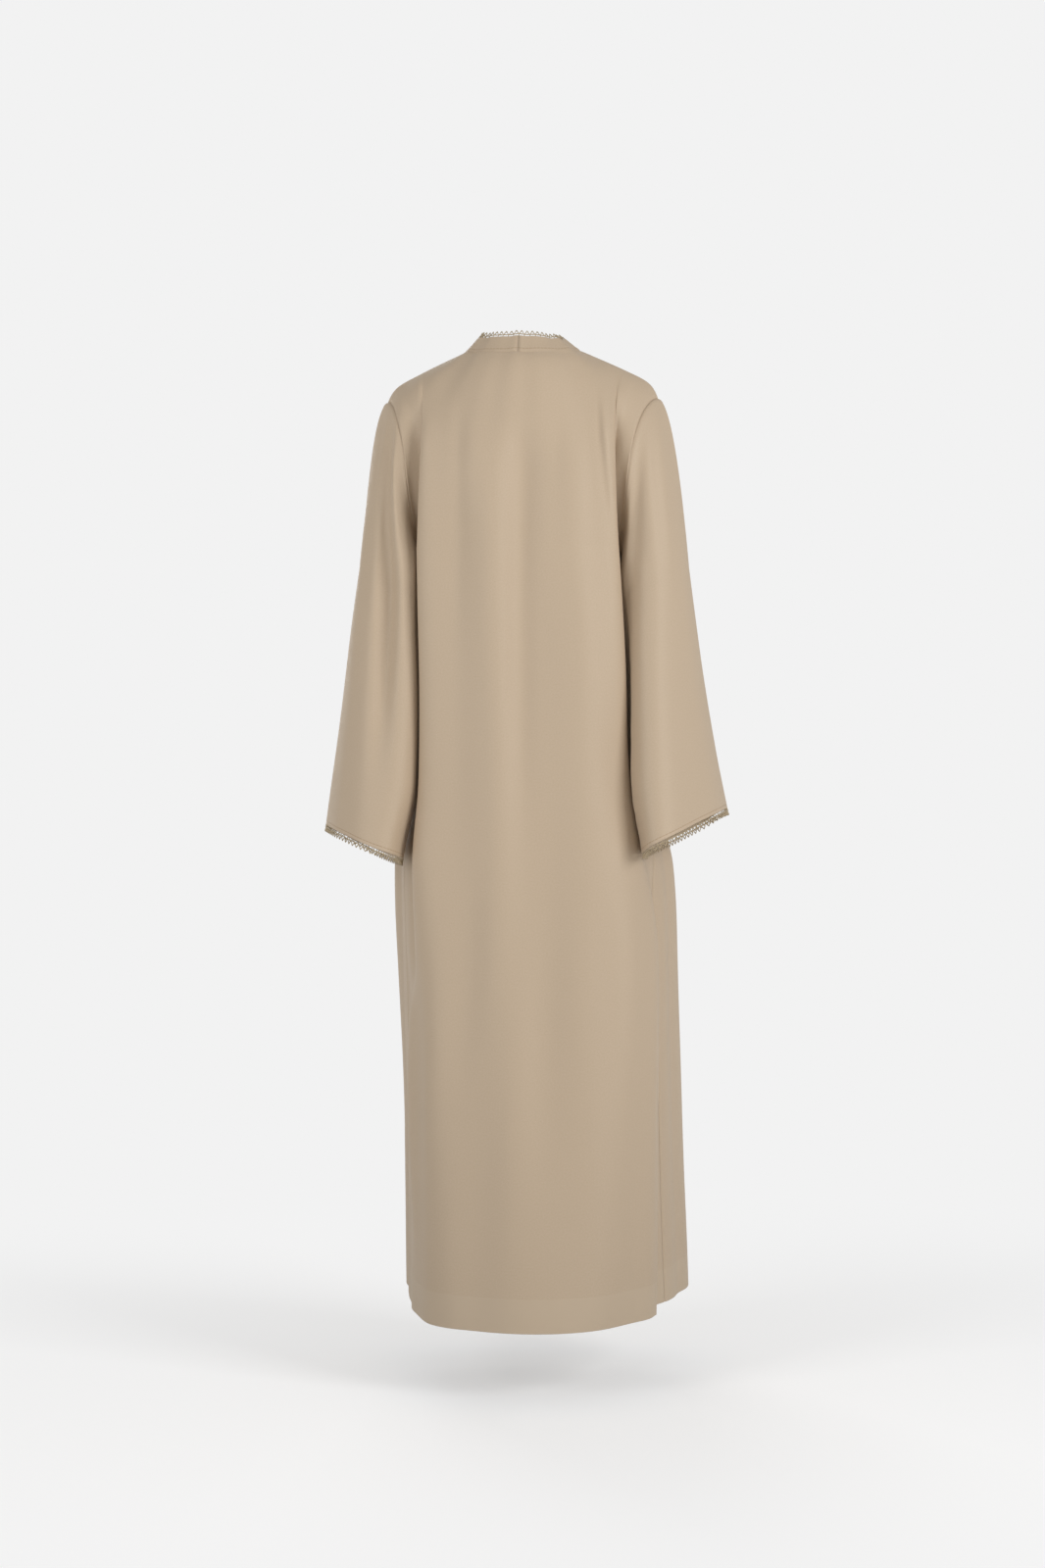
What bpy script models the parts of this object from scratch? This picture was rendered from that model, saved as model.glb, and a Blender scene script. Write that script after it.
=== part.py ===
"""Open abaya cloak in the form it takes when worn: back, fronts, wide sleeves, a neckband and picot edging.

Metres, +Z up. The open front faces -Y and the left sleeve is at +X. The origin lies midway between the two
points where the shoulder seams meet the neckband, which is where a figure's shoulders carry the cloak.
"""

import bpy
import numpy as np

# Cloth and seams
cloth = 0.0016
hem_cloth = 0.0024
band_cloth = 0.0022
trim_cloth = 0.0010
seam_gap = 0.0003

# Neck and shoulder
neck_half_width = 0.088
neck_back = 0.072
neck_drop = 0.010
shoulder_tip = (0.2040, 0.002, -0.072)
shoulder_crown = 0.017

# Armhole: how far it bows backwards and forwards, and how far it cuts in towards the body
armhole_back = 0.078
armhole_front = 0.062
armhole_hollow = 0.012

# Body below the arms
underarm_height = -0.300
hem_height = -1.432
hem_depth = 0.050
front_hem_lift = 0.024
front_seam = 0.052
front_seam_hem = 0.060

# How far a sleeve that lies against the body stays clear of it, and how far its inner side is drawn towards
# the body along its length and at the cuff
sleeve_clearance = 0.005
sleeve_hug = {"left": 0.034, "right": 0.018}
cuff_hug = {"left": 0.020, "right": 0.004}
hug_angle = 145.0
hug_spread = 50.0

# Neckband, and the picot edging that is sewn to it and to the cuffs
band_width = 0.031
band_lean_middle = 0.60
band_lean = {"left": 0.90, "right": 1.25}
band_flat_height = -0.150
picot_pitch = 0.0075
neck_picot_pitch = 0.0084
picot_base = 0.0035
picot_reach = 0.0092

# Grid of the panels
neck_cells = 7
shoulder_cells = 11
yoke_rows = 15
body_rows = 14
armhole_rows = 8
sleeve_rows = 9
band_cells = 2

side_sign = {"left": 1.0, "right": -1.0}

# One row for each level section of the body: half widths to the left and right, depths behind and in front of
# the middle, how square its corners are behind and in front, and by what share each side widens to the front
SECTION_COLUMNS = (
    "height", "left", "right", "back", "front", "back_corner", "front_corner", "left_flare", "right_flare",
)
SECTIONS = (
    (-0.300, 0.150, 0.149, 0.124, 0.128, 3.6, 2.8, 0.00, 0.00),
    (-0.470, 0.146, 0.157, 0.129, 0.138, 4.6, 3.0, 0.07, 0.02),
    (-0.640, 0.158, 0.172, 0.137, 0.150, 4.8, 3.4, 0.20, 0.14),
    (-0.780, 0.179, 0.202, 0.146, 0.162, 4.8, 3.8, 0.26, 0.16),
    (-0.950, 0.176, 0.210, 0.157, 0.172, 4.6, 4.2, 0.24, 0.13),
    (-1.200, 0.170, 0.213, 0.178, 0.186, 4.4, 4.5, 0.22, 0.16),
    (-1.440, 0.170, 0.218, 0.200, 0.200, 4.3, 4.5, 0.22, 0.22),
)

# One row for each large fold of the body: its side, its top and its foot, its place at each as a share of the
# way round (0 at the centre back, 1 at the side seam, 2 at the front edge), its half width as a share, and
# how far it stands out, or goes in where negative
FOLD_COLUMNS = ("side", "top", "foot", "place_top", "place_foot", "spread", "height")
FOLDS = (
    ("left", -0.050, -1.00, 0.65, 0.56, 0.10, 0.012),
    ("left", -0.055, -1.10, 0.81, 0.76, 0.10, -0.018),
    ("right", -0.050, -0.90, 0.62, 0.72, 0.09, 0.012),
    ("right", -0.060, -0.90, 0.80, 0.90, 0.10, -0.016),
    ("left", -0.080, -1.44, 0.20, -0.10, 0.14, 0.007),
    ("left", -0.180, -1.44, 0.38, 0.22, 0.13, -0.006),
    ("right", -0.100, -1.30, 0.08, 0.20, 0.13, -0.006),
    ("left", -0.900, -1.44, 0.74, 0.64, 0.08, 0.009),
    ("left", -0.880, -1.44, 0.90, 0.82, 0.08, -0.007),
    ("right", -0.740, -1.44, 0.80, 0.72, 0.07, 0.009),
    ("right", -0.740, -1.44, 0.98, 0.92, 0.09, -0.012),
    ("left", -0.300, -1.44, 1.40, 1.44, 0.16, 0.009),
    ("right", -0.300, -1.44, 1.42, 1.40, 0.16, 0.010),
    ("left", -0.550, -1.44, 1.72, 1.70, 0.15, -0.008),
    ("right", -0.550, -1.44, 1.72, 1.72, 0.15, -0.008),
)

# One row for each section of a sleeve: its centre, its half width away from the body, its half depth, how far
# its back is turned towards the body, how steeply it rises outwards, and how much lower its front hangs than
# its back
SLEEVE_COLUMNS = ("out", "back", "height", "half_width", "half_depth", "turn", "rise", "dip")
SLEEVES = {
    "left": (
        (0.2015, 0.006, -0.3500, 0.051, 0.082, 4.0, 30.0, 0.0),
        (0.2150, 0.010, -0.4700, 0.052, 0.092, 8.0, 22.0, 0.0),
        (0.2310, 0.018, -0.6200, 0.054, 0.107, 12.0, 22.0, 0.2),
        (0.2440, 0.026, -0.7420, 0.056, 0.118, 14.0, 24.0, 0.5),
    ),
    "right": (
        (0.2040, 0.006, -0.3500, 0.052, 0.083, 4.0, 30.0, 0.0),
        (0.2160, 0.010, -0.4680, 0.052, 0.093, 9.0, 22.0, -2.0),
        (0.2330, 0.018, -0.6140, 0.054, 0.108, 14.0, 23.0, -5.0),
        (0.2470, 0.026, -0.7210, 0.057, 0.119, 17.0, 26.0, -7.5),
    ),
}

# How a sleeve leaves the armhole at its top, its foot and the sides between, and how it comes to its first
# section
sleeve_top_leaves = (0.075, 0.000, -0.035)
sleeve_foot_leaves = (0.075, 0.000, -0.030)
sleeve_side_leaves = (0.018, 0.004, -0.085)
sleeve_top_comes = (0.018, 0.000, -0.200)
sleeve_foot_comes = (0.004, 0.000, -0.060)

# One row for each large fold of a sleeve: its side, its top and foot as shares of the sleeve's length, its
# place at each in degrees round the sleeve from its outer side over the back towards the body, its half width
# in degrees, and how far it stands out, or goes in where negative. It nears its lower place early on the way
SLEEVE_FOLD_COLUMNS = ("side", "top", "foot", "angle_top", "angle_foot", "spread", "height")
SLEEVE_FOLDS = (
    ("left", 0.00, 0.95, 36.0, 90.0, 12.0, -0.013),
    ("left", 0.00, 1.00, 58.0, 112.0, 16.0, 0.006),
    ("left", 0.02, 0.60, 12.0, 52.0, 14.0, -0.004),
    ("right", 0.02, 1.00, 40.0, 78.0, 24.0, 0.007),
    ("right", 0.02, 1.00, 72.0, 124.0, 16.0, -0.006),
    ("left", 0.08, 1.00, -60.0, -78.0, 20.0, -0.009),
    ("right", 0.08, 1.00, -60.0, -78.0, 20.0, -0.009),
)


def column(table, names, wanted):
    """One named column of a table as an array."""
    return np.array([row[names.index(wanted)] for row in table], dtype=float)


def smooth(share):
    """Rises from 0 to 1 with level ends."""
    share = np.clip(share, 0.0, 1.0)
    return share * share * (3.0 - 2.0 * share)


def curve_through(at, knots, values):
    """Smooth curve through values at increasing knots, which does not overshoot them."""
    steps = np.diff(knots)
    slopes = np.diff(values) / steps
    tangents = np.zeros_like(values)
    tangents[0] = slopes[0]
    tangents[-1] = slopes[-1]
    for i in range(1, len(values) - 1):
        if slopes[i - 1] * slopes[i] > 0.0:
            tangents[i] = 2.0 * slopes[i - 1] * slopes[i] / (slopes[i - 1] + slopes[i])
    at = np.clip(at, knots[0], knots[-1])
    cell = np.clip(np.searchsorted(knots, at) - 1, 0, len(steps) - 1)
    u = (at - knots[cell]) / steps[cell]
    return (
        values[cell] * (1.0 + 2.0 * u) * (1.0 - u) ** 2
        + tangents[cell] * steps[cell] * u * (1.0 - u) ** 2
        + values[cell + 1] * u * u * (3.0 - 2.0 * u)
        + tangents[cell + 1] * steps[cell] * u * u * (u - 1.0)
    )


def section_value(side, height, name):
    """A column of the body's sections at any height."""
    order = slice(None, None, -1)
    heights = column(SECTIONS, SECTION_COLUMNS, "height")[order]
    values = column(SECTIONS, SECTION_COLUMNS, side if name == "width" else name)[order]
    return curve_through(np.asarray(height, dtype=float), heights, values)


def fold_depth(side, share, height):
    """How far the large folds move the cloth out of its plain section."""
    depth = np.zeros_like(share)
    for fold_side, top, foot, place_top, place_foot, spread, size in FOLDS:
        down = np.clip((top - height) / (top - foot), 0.0, 1.0)
        place = place_top + (place_foot - place_top) * down
        mirrored = share if fold_side == side else -share
        fades = smooth((top - height) / 0.10)
        ends = 1.0 if foot < hem_height else smooth((height - foot) / 0.30)
        depth += size * fades * ends * np.exp(-(((mirrored - place) / spread) ** 2))
    return depth


def body_section(side, height, shares):
    """Points of one level section, at shares of the way from centre back (0) by the side (1) to front (2)."""
    width = float(section_value(side, height, "width"))
    back = float(section_value(side, height, "back"))
    front = float(section_value(side, height, "front"))
    back_corner = float(section_value(side, height, "back_corner"))
    front_corner = float(section_value(side, height, "front_corner"))
    flare = float(section_value(side, height, side + "_flare"))
    down = (underarm_height - height) / (underarm_height - hem_height)
    edge = front_seam + (front_seam_hem - front_seam) * max(down, 0.0)
    turn = np.radians(np.linspace(0.0, 180.0, 721))
    power = 2.0 / np.where(turn < np.pi / 2, back_corner, front_corner)
    across = width * np.abs(np.sin(turn)) ** power
    depth = np.where(turn < np.pi / 2, back, front) * np.sign(np.cos(turn)) * np.abs(np.cos(turn)) ** power
    across = across * (1.0 - flare * depth / front)
    length = np.concatenate(([0.0], np.cumsum(np.hypot(np.diff(across), np.diff(depth)))))
    side_length = length[360]
    front_part = np.arange(361, 721)
    past_edge = front_part[across[361:] < edge]
    edge_length = length[past_edge[0]] if len(past_edge) else length[-1]
    shares = np.asarray(shares, dtype=float)
    past_side = np.maximum(shares - 1.0, 0.0)
    along = np.minimum(shares, 1.0) * side_length + past_side * (edge_length - side_length)
    x = np.interp(along, length, across)
    y = np.interp(along, length, depth)
    ahead = np.stack((np.interp(along + 0.002, length, across) - np.interp(along - 0.002, length, across),
                      np.interp(along + 0.002, length, depth) - np.interp(along - 0.002, length, depth)))
    ahead[:, shares == 0.0] = ((1.0,), (0.0,))
    ahead /= np.linalg.norm(ahead, axis=0)
    depth_of_fold = fold_depth(side, shares, np.full_like(shares, height))
    x = x - ahead[1] * depth_of_fold
    y = y + ahead[0] * depth_of_fold
    x = np.where(shares == 0.0, 0.0, x)
    lift = front_hem_lift * smooth(down) * np.clip((back - y) / (back + front), 0.0, 1.0)
    return np.stack((side_sign[side] * x, y, np.full_like(x, height) + lift), axis=1)


def shoulder_line(shares):
    """Shoulder seam from the neck point (0) to the top of the armhole (1); the right side mirrors it."""
    start = np.array((neck_half_width, 0.0, 0.0))
    end = np.array(shoulder_tip)
    points = start + np.outer(shares, end - start)
    points[:, 2] += shoulder_crown * np.sin(np.pi * shares)
    return points


def neck_line(turns):
    """Back neck seam from the centre back (0) to the neck point (1); the right side mirrors it."""
    angle = turns * np.pi / 2
    x = neck_half_width * np.sin(angle)
    y = neck_back * np.cos(angle)
    z = -neck_drop * np.cos(angle)
    return np.stack((x, y, z), axis=1)


def armhole_line(side, shares, towards):
    """Armhole edge from its top (0) to its foot (1); towards is +1 on the back and -1 on the front."""
    foot = body_section(side, underarm_height, (1.0,))[0] * (side_sign[side], 1.0, 1.0)
    top = np.array(shoulder_tip)
    turn = np.pi * shares
    down = (1.0 - np.cos(turn)) / 2
    bow = armhole_back if towards > 0 else armhole_front
    x = top[0] + (foot[0] - top[0]) * down - armhole_hollow * np.sin(turn) * (1.0 + np.cos(turn))
    y = top[1] + (foot[1] - top[1]) * down + towards * bow * np.sin(turn) ** 1.2
    z = top[2] + (foot[2] - top[2]) * down
    return np.stack((x, y, z), axis=1)


def softened(top, shares, towards):
    """Top edge with the corner at the neck point rounded off, as the cloth just below it hangs."""
    reach = shares.max() - shares
    if towards < 0:
        reach = np.minimum(reach, shares - shares.min())
    spread = np.minimum(reach, 0.13)
    total = np.zeros_like(top)
    for step in np.linspace(-1.0, 1.0, 9):
        at = shares + step * spread
        total[:, 0] += np.interp(np.abs(at), shares, top[:, 0]) * np.where(at < 0.0, -1.0, 1.0)
        total[:, 1] += np.interp(np.abs(at), shares, top[:, 1])
        total[:, 2] += np.interp(np.abs(at), shares, top[:, 2])
    return total / 9.0


def yoke(side, top, shares, rows, towards):
    """Upper panel between its top edge, the armhole and the section at the underarm."""
    mirror = np.array((side_sign[side], 1.0, 1.0))
    foot = body_section(side, underarm_height, shares) * mirror
    turn = rows[:, None] * np.pi / 2
    along_x = 0.35 * np.sin(turn) + 0.65 * (1.0 - np.cos(turn))
    travelled = np.stack((along_x, np.sin(turn), 1.0 - np.cos(turn)), axis=2)
    below = smooth(rows / 0.12)[:, None, None]
    start = top * (1.0 - below) + softened(top, shares, towards) * below
    points = start + (foot - start) * travelled
    edge = armhole_line(side, rows, towards)
    near_arm = np.abs(shares - (0.0 if towards > 0 else 2.0))
    pull = near_arm ** 3.2
    outer = np.argmax(near_arm)
    points += pull[None, :, None] * (edge - points[:, outer])[:, None, :]
    folded = fold_depth(side, np.broadcast_to(shares, points.shape[:2]), points[:, :, 2])
    folded = folded - fold_depth(side, shares, np.full_like(shares, underarm_height)) * np.sin(turn)
    folded = folded * smooth(rows / 0.16)[:, None] * (rows[:, None] < 1.0)
    points[:, :, 1] += towards * folded * (1.0 - near_arm ** 9)
    return points * mirror


def body_heights():
    """Heights of the rows below the underarm, the last two of them being the depth of the hem."""
    above = np.linspace(underarm_height, hem_height + hem_depth, body_rows)
    return np.concatenate((above, (hem_height + hem_depth - 0.006, hem_height)))


neck_shares = np.linspace(0.0, 0.36, neck_cells + 1)[:-1]
back_shares = np.concatenate((neck_shares, np.linspace(0.36, 1.0, shoulder_cells + 1)))
front_shares = np.linspace(1.0, 2.0, shoulder_cells + 1)
row_shares = np.linspace(0.0, 1.0, yoke_rows + 1)


def back_half(side):
    """Half of the back panel, from the centre back to the side."""
    neck = neck_line(np.linspace(0.0, 1.0, neck_cells + 1))[:-1]
    top = np.concatenate((neck, shoulder_line(np.linspace(0.0, 1.0, shoulder_cells + 1))))
    upper = yoke(side, top, back_shares, row_shares, 1.0)
    lower = [body_section(side, height, back_shares) for height in body_heights()[1:]]
    return np.concatenate((upper, np.array(lower)))


def front_panel(side):
    """Front panel, from the side to the seam of the band."""
    top = shoulder_line(np.linspace(1.0, 0.0, shoulder_cells + 1))
    upper = yoke(side, top, front_shares, row_shares, -1.0)
    lower = [body_section(side, height, front_shares) for height in body_heights()[1:]]
    return np.concatenate((upper, np.array(lower)))


def sleeve_fold_depth(side, along, angle):
    """How far the large folds move the cloth of a sleeve."""
    depth = np.zeros(np.broadcast(along, angle).shape)
    for fold_side, top, foot, angle_top, angle_foot, spread, size in SLEEVE_FOLDS:
        if fold_side == side:
            down = np.clip((along - top) / (foot - top), 0.0, 1.0)
            place = angle_top + (angle_foot - angle_top) * (1.0 - (1.0 - down) ** 3)
            away = (angle - place + 180.0) % 360.0 - 180.0
            ends = 1.0 if foot >= 1.0 else smooth((foot - along) / 0.3)
            depth += size * smooth((along - top) / 0.15) * ends * np.exp(-((away / spread) ** 2))
    return depth


def sleeve_tube(side):
    """Rings of a sleeve from the armhole to the cuff, each from its outer side over the back and round."""
    table = SLEEVES[side]
    heights = column(table, SLEEVE_COLUMNS, "height")
    mirror = np.array((side_sign[side], 1.0, 1.0))
    back_edge = armhole_line(side, row_shares, 1.0)
    front_edge = armhole_line(side, row_shares, -1.0)
    armhole = np.concatenate((back_edge, front_edge[-2:0:-1]))
    count = len(armhole)
    angle = np.arange(count) * 360.0 / count
    turn = np.radians(angle)
    foot_share = (1.0 - np.cos(turn))[:, None] / 2

    def ring(height):
        at = {name: float(curve_through(np.array(-height), -heights, column(table, SLEEVE_COLUMNS, name)))
              for name in SLEEVE_COLUMNS if name != "height"}
        rise = np.radians(at["rise"])
        skew = np.radians(at["turn"])
        outward = np.array((np.cos(skew) * np.cos(rise), 0.0, np.sin(rise)))
        backward = np.array((-np.sin(skew), np.cos(skew), np.tan(np.radians(at["dip"]))))
        centre = np.array((at["out"], at["back"], height))
        return (centre + np.outer(np.cos(turn) * at["half_width"], outward)
                + np.outer(np.sin(turn) * at["half_depth"], backward))

    first = ring(heights[0])
    leaves = (1.0 - foot_share) * np.array(sleeve_top_leaves) + foot_share * np.array(sleeve_foot_leaves)
    for side_angle, towards in ((105.0, 1.0), (255.0, -1.0)):
        near = np.exp(-(((angle - side_angle) / 38.0) ** 2))[:, None]
        leaves = leaves * (1.0 - near) + near * np.array(sleeve_side_leaves) * (1.0, towards, 1.0)
    comes = (1.0 - foot_share) * np.array(sleeve_top_comes) + foot_share * np.array(sleeve_foot_comes)
    rings = []
    for u in np.linspace(0.0, 1.0, armhole_rows + 1):
        rings.append(armhole * (1.0 + 2.0 * u) * (1.0 - u) ** 2 + leaves * u * (1.0 - u) ** 2
                     + first * u * u * (3.0 - 2.0 * u) + comes * u * u * (u - 1.0))
    for height in np.linspace(heights[0], heights[-1], sleeve_rows + 1)[1:]:
        rings.append(ring(height))
    rings = np.array(rings)
    along = np.linspace(0.0, 1.0, len(rings))[:, None]
    centre = rings.mean(axis=1, keepdims=True)
    outward = rings - centre
    outward[:, :, 2] = 0.0
    outward /= np.linalg.norm(outward, axis=2, keepdims=True)
    rings[1:] += (sleeve_fold_depth(side, along, angle[None, :])[:, :, None] * outward)[1:]
    height = rings[1:, :, 2]
    hug = cuff_hug[side] + (sleeve_hug[side] - cuff_hug[side]) * (1.0 - smooth((-0.640 - height) / 0.120))
    near_foot = np.exp(-(((angle - 180.0) / 32.0) ** 2))
    hug = hug * smooth(along[1:] / 0.40)
    hug = hug * (1.0 - near_foot * (1.0 - smooth((underarm_height - height) / 0.070)))
    rings[1:, :, 0] -= hug * np.exp(-(((angle - hug_angle) / hug_spread) ** 2))
    clear = sleeve_clearance * smooth((underarm_height - height) / 0.030) + 0.0014
    rings[1:, :, 0] = np.maximum(rings[1:, :, 0], body_reach(side, rings[1:]) + clear)
    return rings * mirror


def body_reach(side, points):
    """How far out the body comes at the points' own depth and height, and 0 above the underarm."""
    shares = np.linspace(0.0, 2.0, 61)
    levels = np.linspace(underarm_height + 0.016, -0.80, 52)
    reach = np.zeros(points.shape[:-1])
    table = []
    for level in levels:
        whole = body_section(side, level, shares)
        section = np.abs(whole[:, 0])
        depth = whole[:, 1]
        order = np.argsort(depth)
        table.append((depth[order], section[order]))
    for i in np.ndindex(reach.shape):
        x, y, z = points[i]
        if z < levels[0]:
            depth, section = table[int(round((levels[0] - z) / (levels[0] - levels[-1]) * (len(levels) - 1)))]
            near = np.interp((y - 0.006, y, y + 0.006), depth, section, left=0.0, right=0.0).max()
            reach[i] = near
    return reach


def unit(vectors):
    """Vectors of length one."""
    return vectors / np.maximum(np.linalg.norm(vectors, axis=-1, keepdims=True), 1e-12)


def band_strip(side, back, front):
    """Neckband from the centre back round the neck and down the front, from its seam to its free edge."""
    neck = back[0, :neck_cells]
    seam = np.concatenate((neck, front[:, -1]))
    inside = np.concatenate((back[1, :neck_cells], front[:, -2]))
    along = np.gradient(seam, axis=0)
    along[0] = (side_sign[side], 0.0, 0.0)
    along = unit(along)
    flat = unit(seam - inside)
    to_axis = -seam * (1.0, 1.0, 0.0)
    turned = smooth(np.minimum(np.arange(len(seam)) / neck_cells, 1.0))[:, None]
    lean = band_lean_middle + (band_lean[side] - band_lean_middle) * turned
    stand = unit(unit(to_axis) * lean + np.array((0.0, 0.0, 1.0)))
    share = smooth((seam[:, 2] - band_flat_height) / -band_flat_height)[:, None]
    share[:neck_cells + 1] = 1.0
    way = stand * share + flat * (1.0 - share)
    way = unit(way - along * np.sum(way * along, axis=1, keepdims=True))
    return seam[:, None, :] + way[:, None, :] * np.linspace(0.0, band_width, band_cells + 1)[None, :, None]


def grid_faces(rows, columns, closed=False):
    """Quads of a grid, numbered row by row."""
    across = columns if closed else columns - 1
    quads = []
    for i in range(rows - 1):
        for j in range(across):
            k = (j + 1) % columns
            quads.append((i * columns + j, i * columns + k, (i + 1) * columns + k, (i + 1) * columns + j))
    return np.array(quads)


def panel(grid, closed=False, flip=False):
    """Points and outward quads of a grid."""
    rows, columns = grid.shape[:2]
    quads = grid_faces(rows, columns, closed)
    if flip:
        quads = quads[:, ::-1]
    return grid.reshape(-1, 3), quads


def weld(panels):
    """Number the points of all panels together, so that a seam's points count once, with their normals."""
    points = np.concatenate([panels[name][0] for name in panels])
    keys, first, numbers = np.unique(np.round(points, 6), axis=0, return_index=True, return_inverse=True)
    numbers = numbers.reshape(-1)
    normals = np.zeros((len(first), 3))
    start = 0
    for name in panels:
        own, quads = panels[name]
        corners = own[quads]
        face = unit(np.cross(corners[:, 2] - corners[:, 0], corners[:, 3] - corners[:, 1]))
        for k in range(4):
            np.add.at(normals, numbers[start + quads[:, k]], face)
        start += len(own)
    return unit(normals)[numbers]


def boundary_edges(quads):
    """Edges that only one quad uses, in that quad's direction."""
    seen = {}
    for quad in quads:
        for a, b in zip(quad, np.roll(quad, -1)):
            seen[(a, b)] = True
    return [(a, b) for (a, b) in seen if (b, a) not in seen]


def closed_cloth(points, quads, normals, thickness, gap):
    """Shell with its edge drawn back by the gap within the surface, and its wall laid inwards."""
    edges = boundary_edges(quads)
    on_edge = np.zeros(len(points), dtype=bool)
    on_edge[[a for a, b in edges]] = True
    inward = np.zeros_like(points)
    used = np.zeros(len(points))
    centres = points[quads].mean(axis=1)
    for k in range(4):
        np.add.at(inward, quads[:, k], unit(centres - points[quads[:, k]]))
        np.add.at(used, quads[:, k], 1.0)
    along = np.zeros_like(points)
    for a, b in edges:
        along[a] += unit(points[b] - points[a])
        along[b] += unit(points[b] - points[a])
    corner = used <= 1.0
    along = unit(along)
    straight = inward - along * np.sum(inward * along, axis=1, keepdims=True)
    inward = np.where(corner[:, None], inward, straight)
    inward -= normals * np.sum(inward * normals, axis=1, keepdims=True)
    inward = unit(inward) * np.where(corner, 1.5, 1.0)[:, None]
    outer = points + np.where(on_edge[:, None], inward * gap * 0.5, 0.0)
    inner = outer - normals * np.asarray(thickness).reshape(-1, 1)
    count = len(points)
    keys = [tuple(point) for point in np.round(points, 6)]
    corners = np.concatenate((outer, inner))
    triangles = []
    for a, b, c, d in quads:
        if np.linalg.norm(outer[a] - outer[c]) <= np.linalg.norm(outer[b] - outer[d]):
            halves = ((a, b, c), (a, c, d))
        else:
            halves = ((a, b, d), (b, c, d))
        for p, q, r in halves:
            triangles.append((p, q, r))
            triangles.append((p + count, r + count, q + count))
    for a, b in edges:
        if keys[a] < keys[b]:
            triangles.append((b, a, a + count))
            triangles.append((b, a + count, b + count))
        else:
            triangles.append((b, a, b + count))
            triangles.append((a, a + count, b + count))
    return corners, triangles


def picot_ribbon(edge, way, normals, closed, first, last, pitch):
    """Edging beside a cloth edge: a narrow strip with a row of points outside it."""
    steps = np.linalg.norm(np.diff(edge, axis=0), axis=1)
    length = np.concatenate(([0.0], np.cumsum(steps)))
    knots = list(length[:first])
    for i in range(first, last):
        shares = max(1, int(round(steps[i] / pitch)))
        knots.extend(length[i] + steps[i] * np.arange(shares) / shares)
    teeth = len(knots) - first
    knots = np.concatenate((knots, length[last:]))

    def at(values):
        return np.stack([np.interp(knots, length, values[:, k]) for k in range(3)], axis=1)

    root = at(edge)
    out = unit(at(way))
    normal = unit(at(normals))
    normal = unit(normal - out * np.sum(normal * out, axis=1, keepdims=True))
    low = root + out * seam_gap
    high = root + out * picot_base
    tips = (high[:-1] + high[1:]) / 2 + unit(out[:-1] + out[1:]) * (picot_reach - picot_base)
    tip_normal = unit(normal[:-1] + normal[1:])
    shift = 0.5 * (0.0016 - trim_cloth)
    count = len(knots) - (1 if closed else 0)
    cells = len(knots) - 1
    layers = []
    for depth in (shift, shift + trim_cloth):
        layers.append(low[:count] - normal[:count] * depth)
        layers.append(high[:count] - normal[:count] * depth)
        layers.append(tips - tip_normal * depth)
    points = np.concatenate(layers)
    size = 2 * count + cells
    triangles = []
    for i in range(cells):
        j = (i + 1) % count if closed else i + 1
        toothed = closed or first <= i < first + teeth
        a, b, c, d, tip = i, j, count + j, count + i, 2 * count + i
        faces = [(a, b, c), (a, c, d)] + ([(d, c, tip)] if toothed else [])
        for p, q, r in faces:
            triangles.append((p, q, r))
            triangles.append((p + size, r + size, q + size))
        rim = [(a, b)] + ([(c, tip), (tip, d)] if toothed else [(c, d)])
        for p, q in rim:
            triangles.append((q, p, p + size))
            triangles.append((q, p + size, q + size))
    if not closed:
        for a, b in ((count, 0), (count - 1, 2 * count - 1)):
            triangles.append((b, a, a + size))
            triangles.append((b, a + size, b + size))
    return points, triangles


def make_material(name, colour, roughness):
    """Cloth finish with one colour and roughness."""
    material = bpy.data.materials.new(name)
    material.use_nodes = True
    shader = material.node_tree.nodes["Principled BSDF"]
    shader.inputs["Base Color"].default_value = (*colour, 1.0)
    shader.inputs["Roughness"].default_value = roughness
    shader.inputs["Metallic"].default_value = 0.0
    return material


def make_object(name, points, triangles, material):
    """Named object with smooth faces, without points that no face uses."""
    triangles = np.array(triangles)
    used, numbers = np.unique(triangles.reshape(-1), return_inverse=True)
    mesh = bpy.data.meshes.new(name)
    mesh.from_pydata(points[used].tolist(), [], numbers.reshape(-1, 3).tolist())
    mesh.materials.append(material)
    mesh.polygons.foreach_set("use_smooth", [True] * len(mesh.polygons))
    mesh.update()
    made = bpy.data.objects.new(name, mesh)
    bpy.context.scene.collection.objects.link(made)
    return made


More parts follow.
